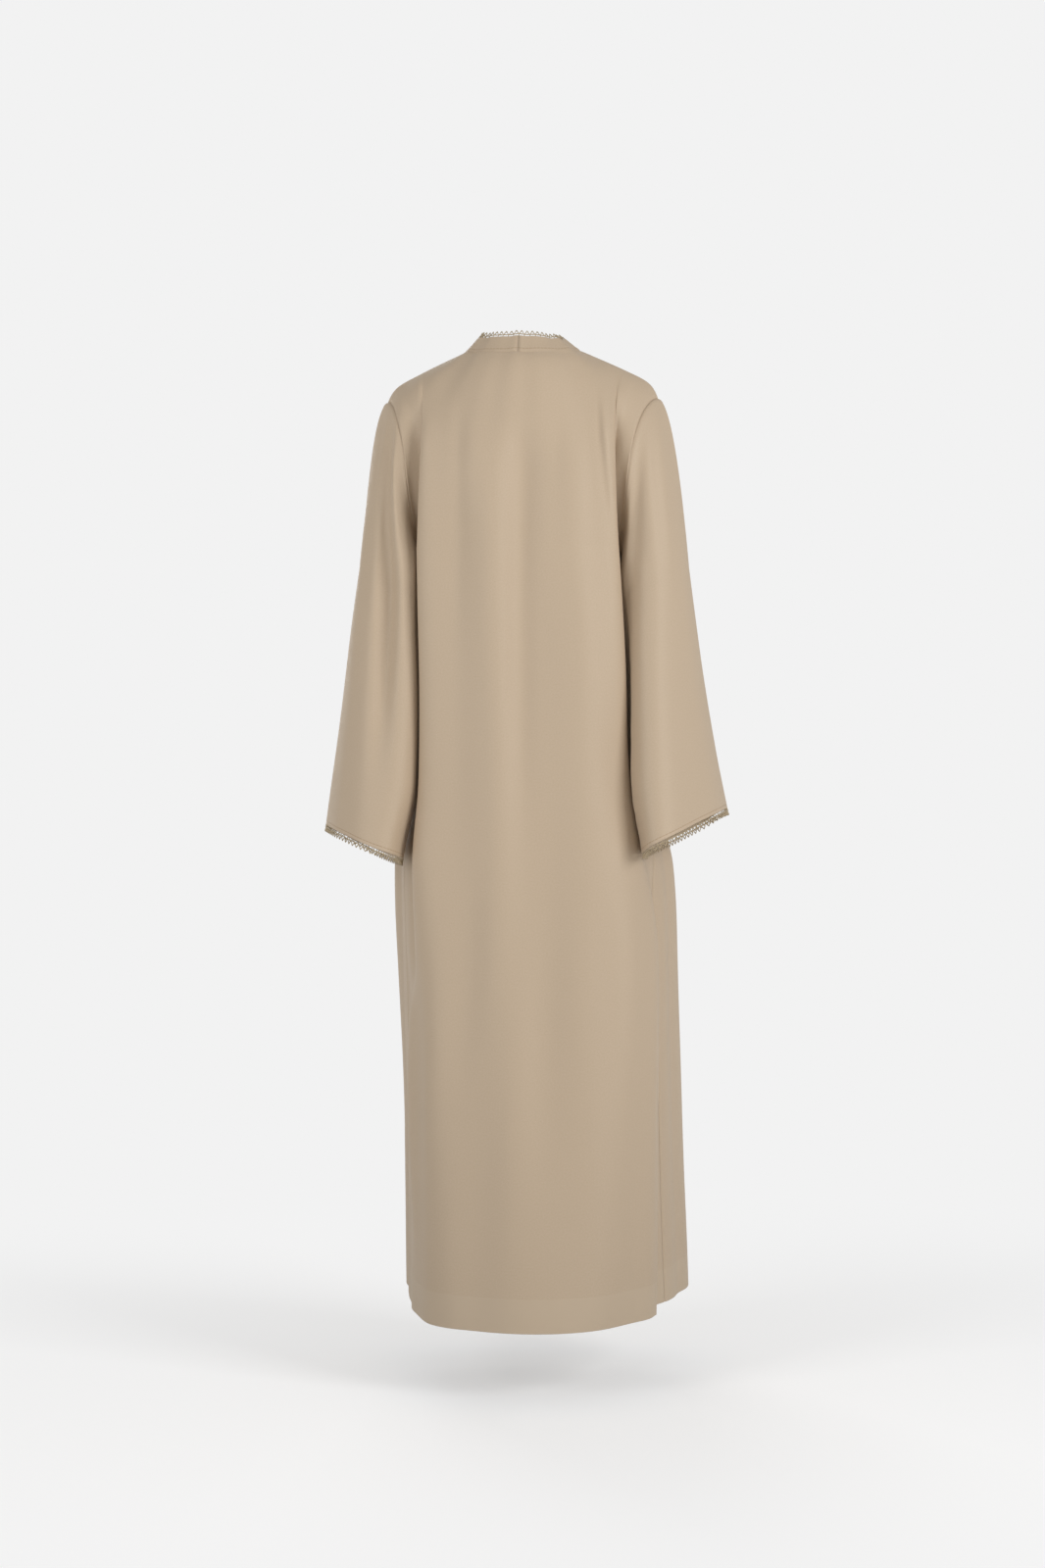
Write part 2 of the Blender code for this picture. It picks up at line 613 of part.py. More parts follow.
def build():
    for old in list(bpy.data.objects):
        bpy.data.objects.remove(old, do_unlink=True)

    half = {side: back_half(side) for side in side_sign}
    front = {side: front_panel(side) for side in side_sign}
    tube = {side: sleeve_tube(side) for side in side_sign}
    band = {side: band_strip(side, half[side], front[side]) for side in side_sign}
    back = np.concatenate((half["right"][:, :0:-1], half["left"]), axis=1)

    panels = {"back": panel(back)}
    for side in side_sign:
        left = side == "left"
        panels["front_" + side] = panel(front[side], flip=not left)
        panels["sleeve_" + side] = panel(tube[side], closed=True, flip=left)
        panels["neckband_" + side] = panel(band[side], flip=not left)
    normals = weld(panels)

    crepe = make_material("taupe_crepe", (0.500, 0.390, 0.290), 0.62)
    picot = make_material("cream_picot_braid", (0.640, 0.560, 0.450), 0.75)
    start = 0
    own_normals = {}
    for name, (points, quads) in panels.items():
        own_normals[name] = normals[start:start + len(points)]
        start += len(points)
        thickness = np.full(len(points), band_cloth if name.startswith("neckband") else cloth)
        if name == "back" or name.startswith("front"):
            columns = (back if name == "back" else front["left"]).shape[1]
            thickness[-2 * columns:] = hem_cloth
        corners, triangles = closed_cloth(points, quads, own_normals[name], thickness, seam_gap)
        make_object(name, corners, triangles, crepe)

    for side in side_sign:
        rings = tube[side]
        count = rings.shape[1]
        turn = np.arange(count + 1) % count
        ring_normals = own_normals["sleeve_" + side].reshape(rings.shape)[-1]
        way = unit(rings[-1] - rings[-2])
        edge, way, ring_normals = rings[-1][turn], way[turn], ring_normals[turn]
        points, triangles = picot_ribbon(edge, way, ring_normals, True, 0, count, picot_pitch)
        if side == "left":
            triangles = [(a, c, b) for a, b, c in triangles]
        make_object("trim_cuff_" + side, points, triangles, picot)

    strips = {side: band[side] for side in side_sign}
    whole = np.concatenate((strips["right"][::-1], strips["left"][1:]))
    band_normals = {side: own_normals["neckband_" + side].reshape(band[side].shape) for side in side_sign}
    whole_normals = np.concatenate((band_normals["right"][::-1, -1], band_normals["left"][1:, -1]))
    way = unit(whole[:, -1] - whole[:, -2])
    middle = len(strips["right"]) - 1
    reach = neck_cells + 5
    points, triangles = picot_ribbon(whole[:, -1], way, whole_normals, False, middle - reach, middle + reach,
                                     neck_picot_pitch)
    triangles = [(a, c, b) for a, b, c in triangles]
    make_object("trim_neck", points, triangles, picot)


build()
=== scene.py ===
import math

import bpy
import numpy as np
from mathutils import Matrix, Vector


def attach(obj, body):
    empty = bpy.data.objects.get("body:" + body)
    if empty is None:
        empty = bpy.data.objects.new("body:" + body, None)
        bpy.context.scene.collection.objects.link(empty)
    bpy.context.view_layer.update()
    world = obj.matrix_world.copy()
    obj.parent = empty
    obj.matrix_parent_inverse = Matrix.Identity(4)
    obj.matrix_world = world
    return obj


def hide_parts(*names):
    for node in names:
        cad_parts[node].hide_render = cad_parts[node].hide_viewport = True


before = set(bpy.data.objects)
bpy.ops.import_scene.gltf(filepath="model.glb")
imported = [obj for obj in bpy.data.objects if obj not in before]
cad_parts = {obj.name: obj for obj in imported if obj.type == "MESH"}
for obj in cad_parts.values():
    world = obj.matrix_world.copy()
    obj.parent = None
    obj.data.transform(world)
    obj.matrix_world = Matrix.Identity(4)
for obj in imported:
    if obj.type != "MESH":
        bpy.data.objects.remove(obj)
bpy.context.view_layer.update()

# Abaya cloak of taupe crepe in the form it hangs in, seen from the back. +Z up, open front towards -Y, left
# sleeve at +X. The panels' forms are the solids' own, worked out on a finer grid, with smaller folds and
# seams added.

sideSign = {"left": 1.0, "right": -1.0}

# Sizes of the whole cloak in metres, as in the solids, except that the shoulder's crown ends squarer here
cloakSize = {
    "neckHalfWidth": 0.088, "neckBack": 0.072, "neckDrop": 0.010, "neckShare": 0.36,
    "shoulderTip": (0.2040, 0.002, -0.072), "shoulderCrown": {"left": 0.018, "right": 0.020},
    "crownPower": 14.0, "armholeBack": 0.078, "armholeFront": 0.062, "armholeHollow": 0.012,
    "armholePower": 1.2,
    "underarm": -0.300, "hem": -1.432, "hemDepth": 0.050, "frontHemLift": 0.024,
    "frontSeam": 0.052, "frontSeamHem": 0.060,
}

# Cloth as it shows: its wall, the gap that a stitched seam leaves, the seam's groove and the puff beside it
clothMake = {
    "wall": 0.0009, "hemWall": 0.0013, "bandWall": 0.0016, "gap": 0.00012,
    "grooveDepth": 0.0007, "grooveHalf": 0.0020, "puff": 0.0004, "puffAt": 0.0062, "puffHalf": 0.0035,
}

# Height, half width left and right, depth behind and in front, corners behind and in front, flare left and
# right. The two rows at the hem are rounder than in the solids
sectionColumns = ("height", "left", "right", "back", "front", "backCorner", "frontCorner",
                  "leftFlare", "rightFlare")
sectionTable = np.array((
    (-1.440, 0.171, 0.219, 0.200, 0.200, 3.2, 3.4, 0.22, 0.22),
    (-1.200, 0.170, 0.213, 0.178, 0.186, 4.0, 4.2, 0.22, 0.16),
    (-0.950, 0.176, 0.210, 0.157, 0.172, 4.6, 4.2, 0.24, 0.13),
    (-0.780, 0.179, 0.202, 0.146, 0.162, 4.8, 3.8, 0.26, 0.16),
    (-0.640, 0.158, 0.172, 0.137, 0.150, 4.8, 3.4, 0.20, 0.14),
    (-0.470, 0.146, 0.157, 0.129, 0.138, 4.6, 3.0, 0.07, 0.02),
    (-0.300, 0.150, 0.149, 0.124, 0.128, 3.6, 2.8, 0.00, 0.00),
))

# Side, top, foot, place at the top and foot (0 centre back, 1 side seam, 2 front edge), half width, height.
# These are the folds of the solids, three of them softer at the hem
mainFolds = (
    ("left", -0.050, -1.00, 0.65, 0.56, 0.10, 0.012),
    ("left", -0.055, -1.10, 0.81, 0.76, 0.10, -0.018),
    ("right", -0.050, -0.90, 0.62, 0.72, 0.09, 0.012),
    ("right", -0.060, -0.90, 0.80, 0.90, 0.10, -0.016),
    ("left", -0.080, -1.44, 0.20, -0.10, 0.14, 0.007),
    ("left", -0.180, -1.44, 0.38, 0.22, 0.13, -0.006),
    ("right", -0.100, -1.30, 0.08, 0.20, 0.13, -0.006),
    ("left", -0.900, -1.43, 0.74, 0.64, 0.08, 0.009),
    ("left", -0.880, -1.43, 0.90, 0.82, 0.10, -0.005),
    ("right", -0.740, -1.44, 0.80, 0.70, 0.09, 0.008),
    ("right", -0.740, -1.44, 0.98, 0.92, 0.09, -0.012),
    ("left", -0.300, -1.44, 1.40, 1.44, 0.16, 0.009),
    ("right", -0.300, -1.44, 1.42, 1.40, 0.16, 0.010),
    ("left", -0.550, -1.44, 1.72, 1.70, 0.15, -0.008),
    ("right", -0.550, -1.44, 1.72, 1.72, 0.15, -0.008),
)

# How far down a fold takes to reach its full height, and how far above its foot it begins to fade
foldEnds = {"comes": 0.10, "fades": 0.30}

# The same columns for the smaller creases, which only the fine grid can carry
smallFolds = (
    ("right", -0.100, -0.80, 0.040, 0.040, 0.075, -0.0068),
    ("left", -0.045, -0.62, 0.745, 0.760, 0.035, -0.0060),
    ("left", -0.050, -0.50, 0.690, 0.700, 0.030, 0.0030),
    ("right", -0.040, -0.42, 0.560, 0.690, 0.030, 0.0034),
    ("right", -0.044, -0.40, 0.520, 0.650, 0.030, -0.0028),
    ("right", -0.050, -0.60, 0.720, 0.770, 0.032, -0.0052),
    ("left", -0.060, -0.50, 0.330, 0.360, 0.060, -0.0022),
    ("right", -0.080, -0.44, 0.230, 0.300, 0.055, -0.0020),
    ("right", -0.120, -0.70, 0.400, 0.430, 0.060, 0.0016),
    ("left", -0.930, -1.36, 0.800, 0.730, 0.030, 0.0036),
    ("left", -1.000, -1.40, 0.850, 0.790, 0.030, -0.0026),
    ("right", -0.800, -1.44, 0.850, 0.780, 0.028, 0.0032),
    ("right", -0.800, -1.44, 0.900, 0.840, 0.030, -0.0030),
    ("left", -0.700, -1.44, 0.480, 0.440, 0.070, 0.0016),
    ("right", -0.800, -1.44, 0.440, 0.480, 0.080, -0.0018),
    ("left", -0.320, -1.44, 1.180, 1.220, 0.060, -0.0035),
    ("right", -0.320, -1.44, 1.200, 1.180, 0.060, -0.0035),
    ("left", -0.120, -0.70, 1.300, 1.320, 0.060, 0.0024),
    ("right", -0.120, -0.72, 1.280, 1.300, 0.060, 0.0024),
    ("left", -0.500, -1.44, 1.560, 1.580, 0.060, 0.0030),
    ("right", -0.460, -1.44, 1.580, 1.560, 0.060, 0.0030),
)

# Out, back, height, half width and depth, turn, rise and dip in degrees. The cuffs, in the last rows, lie
# higher than those of the solids
sleeveColumns = ("out", "back", "height", "halfWidth", "halfDepth", "turn", "rise", "dip")
sleeveTable = {
    "left": np.array((
        (0.2015, 0.006, -0.3500, 0.051, 0.082, 4.0, 30.0, 0.0),
        (0.2150, 0.010, -0.4700, 0.052, 0.092, 8.0, 22.0, 0.0),
        (0.2310, 0.018, -0.6200, 0.054, 0.107, 12.0, 22.0, 0.2),
        (0.2440, 0.026, -0.7330, 0.056, 0.118, 14.0, 26.5, -2.4),
    )),
    "right": np.array((
        (0.2040, 0.006, -0.3500, 0.052, 0.083, 4.0, 30.0, 0.0),
        (0.2160, 0.010, -0.4680, 0.052, 0.093, 9.0, 22.0, -2.0),
        (0.2330, 0.018, -0.6140, 0.054, 0.108, 14.0, 23.0, -5.0),
        (0.2470, 0.026, -0.7150, 0.057, 0.119, 17.0, 28.0, -8.5),
    )),
}

# How the sleeves hang: the weights of the parts above and below the first ellipse in the share along the
# sleeve, how clear of the panels a sleeve stays, how far it is drawn in against the back and at the cuff,
# how the foot of the armhole closes on the side, and how the strands leave the armhole and come to the
# first ellipse
sleeveHang = {
    "rowsAbove": 8.0, "rowsBelow": 9.0, "foldComes": 0.15, "foldFades": 0.3,
    "clearance": 0.003, "leastClearance": 0.0014, "clearanceRise": 0.120,
    "hug": {"left": 0.034, "right": 0.018}, "cuffHug": {"left": 0.020, "right": 0.004},
    "hugAngle": 145.0, "hugSpread": 50.0, "hugGrows": 0.40, "hugEnds": -0.640, "hugFade": 0.120,
    "footSpread": 32.0, "footFade": 0.070,
    "closes": 0.006, "closesAt": -0.308, "closesHalf": 0.030, "closesSpread": 45.0,
    "topLeaves": (0.075, 0.000, -0.035), "footLeaves": (0.075, 0.000, -0.030),
    "sideLeaves": (0.018, 0.004, -0.085), "sideBells": ((118.0, 42.0, 1.0), (255.0, 38.0, -1.0)),
    "topComes": (0.018, 0.000, -0.200), "footComes": (0.004, 0.000, -0.060),
}

# side, top and foot along the sleeve, place at the top and foot in degrees, half width in degrees, height
sleeveFolds = (
    ("left", 0.00, 0.95, 36.0, 90.0, 12.0, -0.013),
    ("left", 0.02, 0.80, 46.0, 92.0, 5.0, -0.0035),
    ("left", 0.00, 1.00, 58.0, 112.0, 16.0, 0.006),
    ("left", 0.02, 0.60, 12.0, 52.0, 14.0, -0.004),
    ("right", 0.02, 1.00, 40.0, 78.0, 24.0, 0.007),
    ("right", 0.02, 1.00, 72.0, 124.0, 16.0, -0.006),
    ("left", 0.08, 1.00, -60.0, -78.0, 20.0, -0.009),
    ("right", 0.08, 1.00, -60.0, -78.0, 20.0, -0.009),
)
smallSleeveFolds = (
    ("left", 0.00, 0.80, 42.0, 96.0, 5.0, -0.0040),
    ("left", 0.00, 0.80, 52.0, 104.0, 6.0, 0.0040),
    ("left", 0.02, 0.50, 20.0, 60.0, 5.0, -0.0020),
    ("left", 0.30, 1.00, 30.0, 38.0, 10.0, 0.0016),
    ("right", 0.04, 0.60, 20.0, 52.0, 9.0, 0.0022),
    ("right", 0.04, 0.55, 34.0, 66.0, 8.0, -0.0018),
    ("right", 0.30, 1.00, 96.0, 102.0, 12.0, 0.0022),
    ("left", 0.04, 0.90, -40.0, -52.0, 8.0, 0.0030),
    ("right", 0.04, 0.90, -42.0, -56.0, 8.0, 0.0030),
    ("left", 0.20, 1.00, -100.0, -110.0, 10.0, 0.0030),
    ("right", 0.20, 1.00, -100.0, -112.0, 10.0, 0.0030),
)


# Rises from 0 to 1 with level ends: 3s^2 - 2s^3
def smoothRise(share):
    share = np.clip(share, 0.0, 1.0)
    return share * share * (3.0 - 2.0 * share)


# Vectors of length one
def unit(vectors):
    return vectors / np.maximum(np.linalg.norm(vectors, axis=-1, keepdims=True), 1e-12)


# Cubic through the values at rising knots; the slope at a knot is the harmonic mean of its two sides
def curveThrough(at, knots, values):
    steps = np.diff(knots)
    slopes = np.diff(values) / steps
    tangents = np.zeros_like(values)
    tangents[0], tangents[-1] = slopes[0], slopes[-1]
    product = slopes[:-1] * slopes[1:]
    total = slopes[:-1] + slopes[1:]
    tangents[1:-1] = np.where(product > 0.0, 2.0 * product / np.where(total == 0.0, 1.0, total), 0.0)
    at = np.clip(at, knots[0], knots[-1])
    cell = np.clip(np.searchsorted(knots, at) - 1, 0, len(steps) - 1)
    u = (at - knots[cell]) / steps[cell]
    return (values[cell] * (1.0 + 2.0 * u) * (1.0 - u) ** 2
            + tangents[cell] * steps[cell] * u * (1.0 - u) ** 2
            + values[cell + 1] * u * u * (3.0 - 2.0 * u)
            + tangents[cell + 1] * steps[cell] * u * u * (u - 1.0))


# One column of the body's sections at any heights
def sectionValue(name, heights):
    return curveThrough(heights, sectionTable[:, 0], sectionTable[:, sectionColumns.index(name)])


# Sum of bell-shaped ridges and troughs; each one's middle drifts evenly from its top place to its foot
# place
def foldDepth(side, share, height, folds):
    depth = np.zeros(np.broadcast(share, height).shape)
    for foldSide, top, foot, placeTop, placeFoot, spread, size in folds:
        down = np.clip((top - height) / (top - foot), 0.0, 1.0)
        place = placeTop + (placeFoot - placeTop) * down
        mirrored = share if foldSide == side else -share
        ends = 1.0 if foot < cloakSize["hem"] else smoothRise((height - foot) / foldEnds["fades"])
        bell = np.exp(-(((mirrored - place) / spread) ** 2))
        depth = depth + size * smoothRise((top - height) / foldEnds["comes"]) * ends * bell
    return depth


# Level sections as rows: a rounded rectangle, x = w sin^p and y = d cos^p, widened towards the front and
# walked at even shares of its length, then moved along its own normal by the folds
def bodySections(side, heights, shares, small=True):
    down = (cloakSize["underarm"] - heights) / (cloakSize["underarm"] - cloakSize["hem"])
    seam, seamHem = cloakSize["frontSeam"], cloakSize["frontSeamHem"]
    edge = seam + (seamHem - seam) * np.maximum(down, 0.0)
    quarter = 360
    turn = np.radians(np.linspace(0.0, 180.0, 2 * quarter + 1))[None, :]
    value = {name: sectionValue(name, heights)[:, None] for name in
             (side, "back", "front", "backCorner", "frontCorner", side + "Flare")}
    power = 2.0 / np.where(turn < np.pi / 2, value["backCorner"], value["frontCorner"])
    across = value[side] * np.abs(np.sin(turn)) ** power
    halfDepth = np.where(turn < np.pi / 2, value["back"], value["front"])
    depth = halfDepth * np.sign(np.cos(turn)) * np.abs(np.cos(turn)) ** power
    across = across * (1.0 - value[side + "Flare"] * depth / value["front"])
    length = np.concatenate((np.zeros((len(heights), 1)),
                             np.cumsum(np.hypot(np.diff(across), np.diff(depth)), axis=1)), axis=1)
    rows = []
    for i in range(len(heights)):
        past = np.nonzero(across[i, quarter + 1:] < edge[i])[0]
        edgeLength = length[i, quarter + 1 + past[0]] if len(past) else length[i, -1]
        sideLength = length[i, quarter]
        frontLength = sideLength + (shares - 1.0) * (edgeLength - sideLength)
        along = np.where(shares <= 1.0, shares * sideLength, frontLength)
        rows.append([np.interp(along + step, length[i], line)
                     for line in (across[i], depth[i]) for step in (0.0, -0.002, 0.002)])
    rows = np.array(rows)
    x, y = rows[:, 0], rows[:, 3]
    ahead = np.stack((rows[:, 2] - rows[:, 1], rows[:, 5] - rows[:, 4]))
    ahead[0][:, shares == 0.0] = 1.0
    ahead[1][:, shares == 0.0] = 0.0
    ahead = ahead / np.maximum(np.hypot(ahead[0], ahead[1]), 1e-12)
    moved = foldDepth(side, shares[None, :], heights[:, None], mainFolds + (smallFolds if small else ()))
    x = np.where(shares[None, :] == 0.0, 0.0, x - ahead[1] * moved)
    y = y + ahead[0] * moved
    back, front = value["back"], value["front"]
    forward = np.clip((back - y) / (back + front), 0.0, 1.0)
    lift = cloakSize["frontHemLift"] * smoothRise(down)[:, None] * forward
    return np.stack((sideSign[side] * x, y, heights[:, None] + lift), axis=2)


# Shoulder seam: a straight line and a low crown, s (1 - s^p), that grows evenly and ends round at the armhole
def shoulderLine(side, shares):
    start = np.array((cloakSize["neckHalfWidth"], 0.0, 0.0))
    points = start + np.outer(shares, np.array(cloakSize["shoulderTip"]) - start)
    points[:, 2] += cloakSize["shoulderCrown"][side] * shares * (1.0 - shares ** cloakSize["crownPower"])
    return points


# Back neck seam: a quarter of an ellipse that dips to the centre back
def neckLine(turns):
    angle = turns * np.pi / 2
    return np.stack((cloakSize["neckHalfWidth"] * np.sin(angle), cloakSize["neckBack"] * np.cos(angle),
                     -cloakSize["neckDrop"] * np.cos(angle)), axis=1)


# Armhole edge: half an ellipse from the shoulder tip down to the underarm, bowed back or forward
def armholeLine(side, shares, towards):
    foot = bodySections(side, np.array((cloakSize["underarm"],)), np.array((1.0,)), False)[0, 0]
    foot = foot * (sideSign[side], 1.0, 1.0)
    top = np.array(cloakSize["shoulderTip"])
    turn = np.pi * shares
    down = (1.0 - np.cos(turn)) / 2
    bow = cloakSize["armholeBack"] if towards > 0 else cloakSize["armholeFront"]
    x = top[0] + (foot[0] - top[0]) * down
    x = x - cloakSize["armholeHollow"] * np.sin(turn) * (1.0 + np.cos(turn))
    bowed = np.maximum(np.sin(turn), 0.0) ** cloakSize["armholePower"]
    y = top[1] + (foot[1] - top[1]) * down + towards * bow * bowed
    z = top[2] + (foot[2] - top[2]) * down
    return np.stack((x, y, z), axis=1)


# Upper panels: how the corner at the neck point is rounded off below the seam, how far down that and the
# folds come in, the two weights of a strand's way sideways, and the powers by which the outer strands are
# drawn to the armhole and lose their folds
yoke = {
    "cornerPoints": 9, "cornerReach": 0.13, "cornerRows": 0.12, "foldRows": 0.16,
    "early": 0.35, "late": 0.65, "edgePower": 3.2, "foldPower": 9,
}


# Top edge with the corner rounded off: a mean of points that spread by up to the corner's reach each way
def softened(top, shares, towards):
    reach = shares.max() - shares
    if towards < 0:
        reach = np.minimum(reach, shares - shares.min())
    spread = np.linspace(-1.0, 1.0, yoke["cornerPoints"])[:, None]
    at = shares[None] + spread * np.minimum(reach, yoke["cornerReach"])[None]
    sampled = np.stack([np.interp(np.abs(at), shares, top[:, k]) for k in range(3)], axis=2)
    sampled[:, :, 0] *= np.where(at < 0.0, -1.0, 1.0)
    return sampled.mean(axis=0)


# Upper panel: every strand is a quarter of an ellipse from the top seam to the underarm section, and the
# outer strands are drawn to the armhole by share ^ edgePower
def yokeGrid(side, top, shares, rows, towards):
    mirror = np.array((sideSign[side], 1.0, 1.0))
    underarm = np.array((cloakSize["underarm"],))
    foot = bodySections(side, underarm, shares)[0] * mirror
    plain = bodySections(side, underarm, shares, False)[0] * mirror
    turn = rows * np.pi / 2
    sideways = yoke["early"] * np.sin(turn) + yoke["late"] * (1.0 - np.cos(turn))
    weight = np.stack((sideways, np.sin(turn), 1.0 - np.cos(turn)), axis=1)
    below = smoothRise(rows / yoke["cornerRows"])[:, None, None]
    start = top * (1.0 - below) + softened(top, shares, towards) * below
    points = start + (foot - start) * weight[:, None, :]
    edge = armholeLine(side, rows, towards)
    nearEdge = np.abs(shares - (0.0 if towards > 0 else 2.0))
    outer = np.argmax(nearEdge)
    drawn = (nearEdge ** yoke["edgePower"])[None, :, None]
    points = points + drawn * (edge - points[:, outer])[:, None, :]
    folds = mainFolds + smallFolds
    folded = foldDepth(side, shares[None, :], points[:, :, 2], folds)
    atFoot = foldDepth(side, shares[None, :], np.full((1, len(shares)), underarm[0]), folds)
    folded = folded - atFoot * np.sin(turn)[:, None]
    folded = folded * smoothRise(rows / yoke["foldRows"])[:, None] * (rows[:, None] < 1.0)
    points[:, :, 1] += towards * folded * (1.0 - nearEdge ** yoke["foldPower"])
    points[-1] = foot
    points[-1, outer] = plain[outer]
    return points * mirror


print("stage: cloth grids")

# Grid of the cloth: more lines close to the seams, where the groove needs them, than in the open cloth. The
# hem's and the cuff's last lines are heights above the edge
coarse = 1
neckShare = cloakSize["neckShare"]
hemLines = np.array((0.050, 0.047, 0.038, 0.028, 0.018, 0.009, 0.003, 0.0008, 0.0))
cuffLines = np.array((0.0055, 0.0035, 0.0012, 0.0))


# Even lines from start to end, with more lines at the given places
def linesWith(start, end, count, more):
    return np.unique(np.concatenate((np.linspace(start, end, count // coarse + 1), more)))


yokeShares = linesWith(0.0, 1.0, 56, (0.006, 0.013, 0.026, 0.974, 0.987, 0.994))
neckShares = np.linspace(0.0, neckShare, 22 // coarse + 1)
shoulderShares = linesWith(neckShare, 1.0, 48, (0.978, 0.989, 0.995))
backShares = np.concatenate((neckShares[:-1], shoulderShares))
frontShares = linesWith(1.0, 2.0, 48, (1.005, 1.011, 1.022, 1.978, 1.989, 1.995))
aboveHem = cloakSize["hem"] + cloakSize["hemDepth"] + 0.004
lowerHeights = np.concatenate((np.linspace(cloakSize["underarm"], aboveHem, 128 // coarse)[1:],
                               cloakSize["hem"] + hemLines))


# Half of the back, from the centre back to the side
def backHalf(side):
    neck = neckLine(neckShares[:-1] / neckShare)
    top = np.concatenate((neck, shoulderLine(side, (shoulderShares - neckShare) / (1.0 - neckShare))))
    upper = yokeGrid(side, top, backShares, yokeShares, 1.0)
    return np.concatenate((upper, bodySections(side, lowerHeights, backShares)))


# Front panel, from the side to the seam of the band
def frontPanel(side):
    top = shoulderLine(side, 2.0 - frontShares)
    upper = yokeGrid(side, top, frontShares, yokeShares, -1.0)
    return np.concatenate((upper, bodySections(side, lowerHeights, frontShares)))


# How far out the panels come at points' own depth and height, read between the nodes of a table of sections
# from just above the underarm to below the cuffs
reachTable = {"above": 0.016, "foot": -0.80, "heights": 52, "depth": 0.26, "depths": 261, "shares": 161,
              "blur": (-0.006, -0.003, 0.0, 0.003, 0.006)}


def bodyReach(side, points):
    top = cloakSize["underarm"] + reachTable["above"]
    heights = np.linspace(top, reachTable["foot"], reachTable["heights"])
    depths = np.linspace(-reachTable["depth"], reachTable["depth"], reachTable["depths"])
    sections = bodySections(side, heights, np.linspace(0.0, 2.0, reachTable["shares"]))
    table = []
    for section in sections:
        order = np.argsort(section[:, 1])
        line = np.interp(depths, section[order, 1], np.abs(section[order, 0]), left=0.0, right=0.0)
        shifted = [np.interp(depths + step, depths, line) for step in reachTable["blur"]]
        table.append(np.max(shifted, axis=0))
    table = np.array(table)
    row = (heights[0] - points[..., 2]) / (heights[0] - heights[-1]) * (len(heights) - 1)
    row = np.clip(row, 0.0, len(heights) - 1.001)
    column = np.clip((points[..., 1] - depths[0]) / (depths[1] - depths[0]), 0.0, len(depths) - 1.001)
    i, j = row.astype(int), column.astype(int)
    u, v = row - i, column - j
    reach = (table[i, j] * (1 - u) * (1 - v) + table[i + 1, j] * u * (1 - v)
             + table[i, j + 1] * (1 - u) * v + table[i + 1, j + 1] * u * v)
    return np.where(points[..., 2] < heights[0], reach, 0.0)


# Sum of a sleeve's folds; each comes to its lower place early on its way down
def sleeveFoldDepth(side, along, angle):
    depth = np.zeros(np.broadcast(along, angle).shape)
    for foldSide, top, foot, angleTop, angleFoot, spread, size in sleeveFolds + smallSleeveFolds:
        if foldSide == side:
            down = np.clip((along - top) / (foot - top), 0.0, 1.0)
            place = angleTop + (angleFoot - angleTop) * (1.0 - (1.0 - down) ** 3)
            away = (angle - place + 180.0) % 360.0 - 180.0
            ends = 1.0 if foot >= 1.0 else smoothRise((foot - along) / sleeveHang["foldFades"])
            bell = np.exp(-((away / spread) ** 2))
            depth = depth + size * smoothRise((along - top) / sleeveHang["foldComes"]) * ends * bell
    return depth


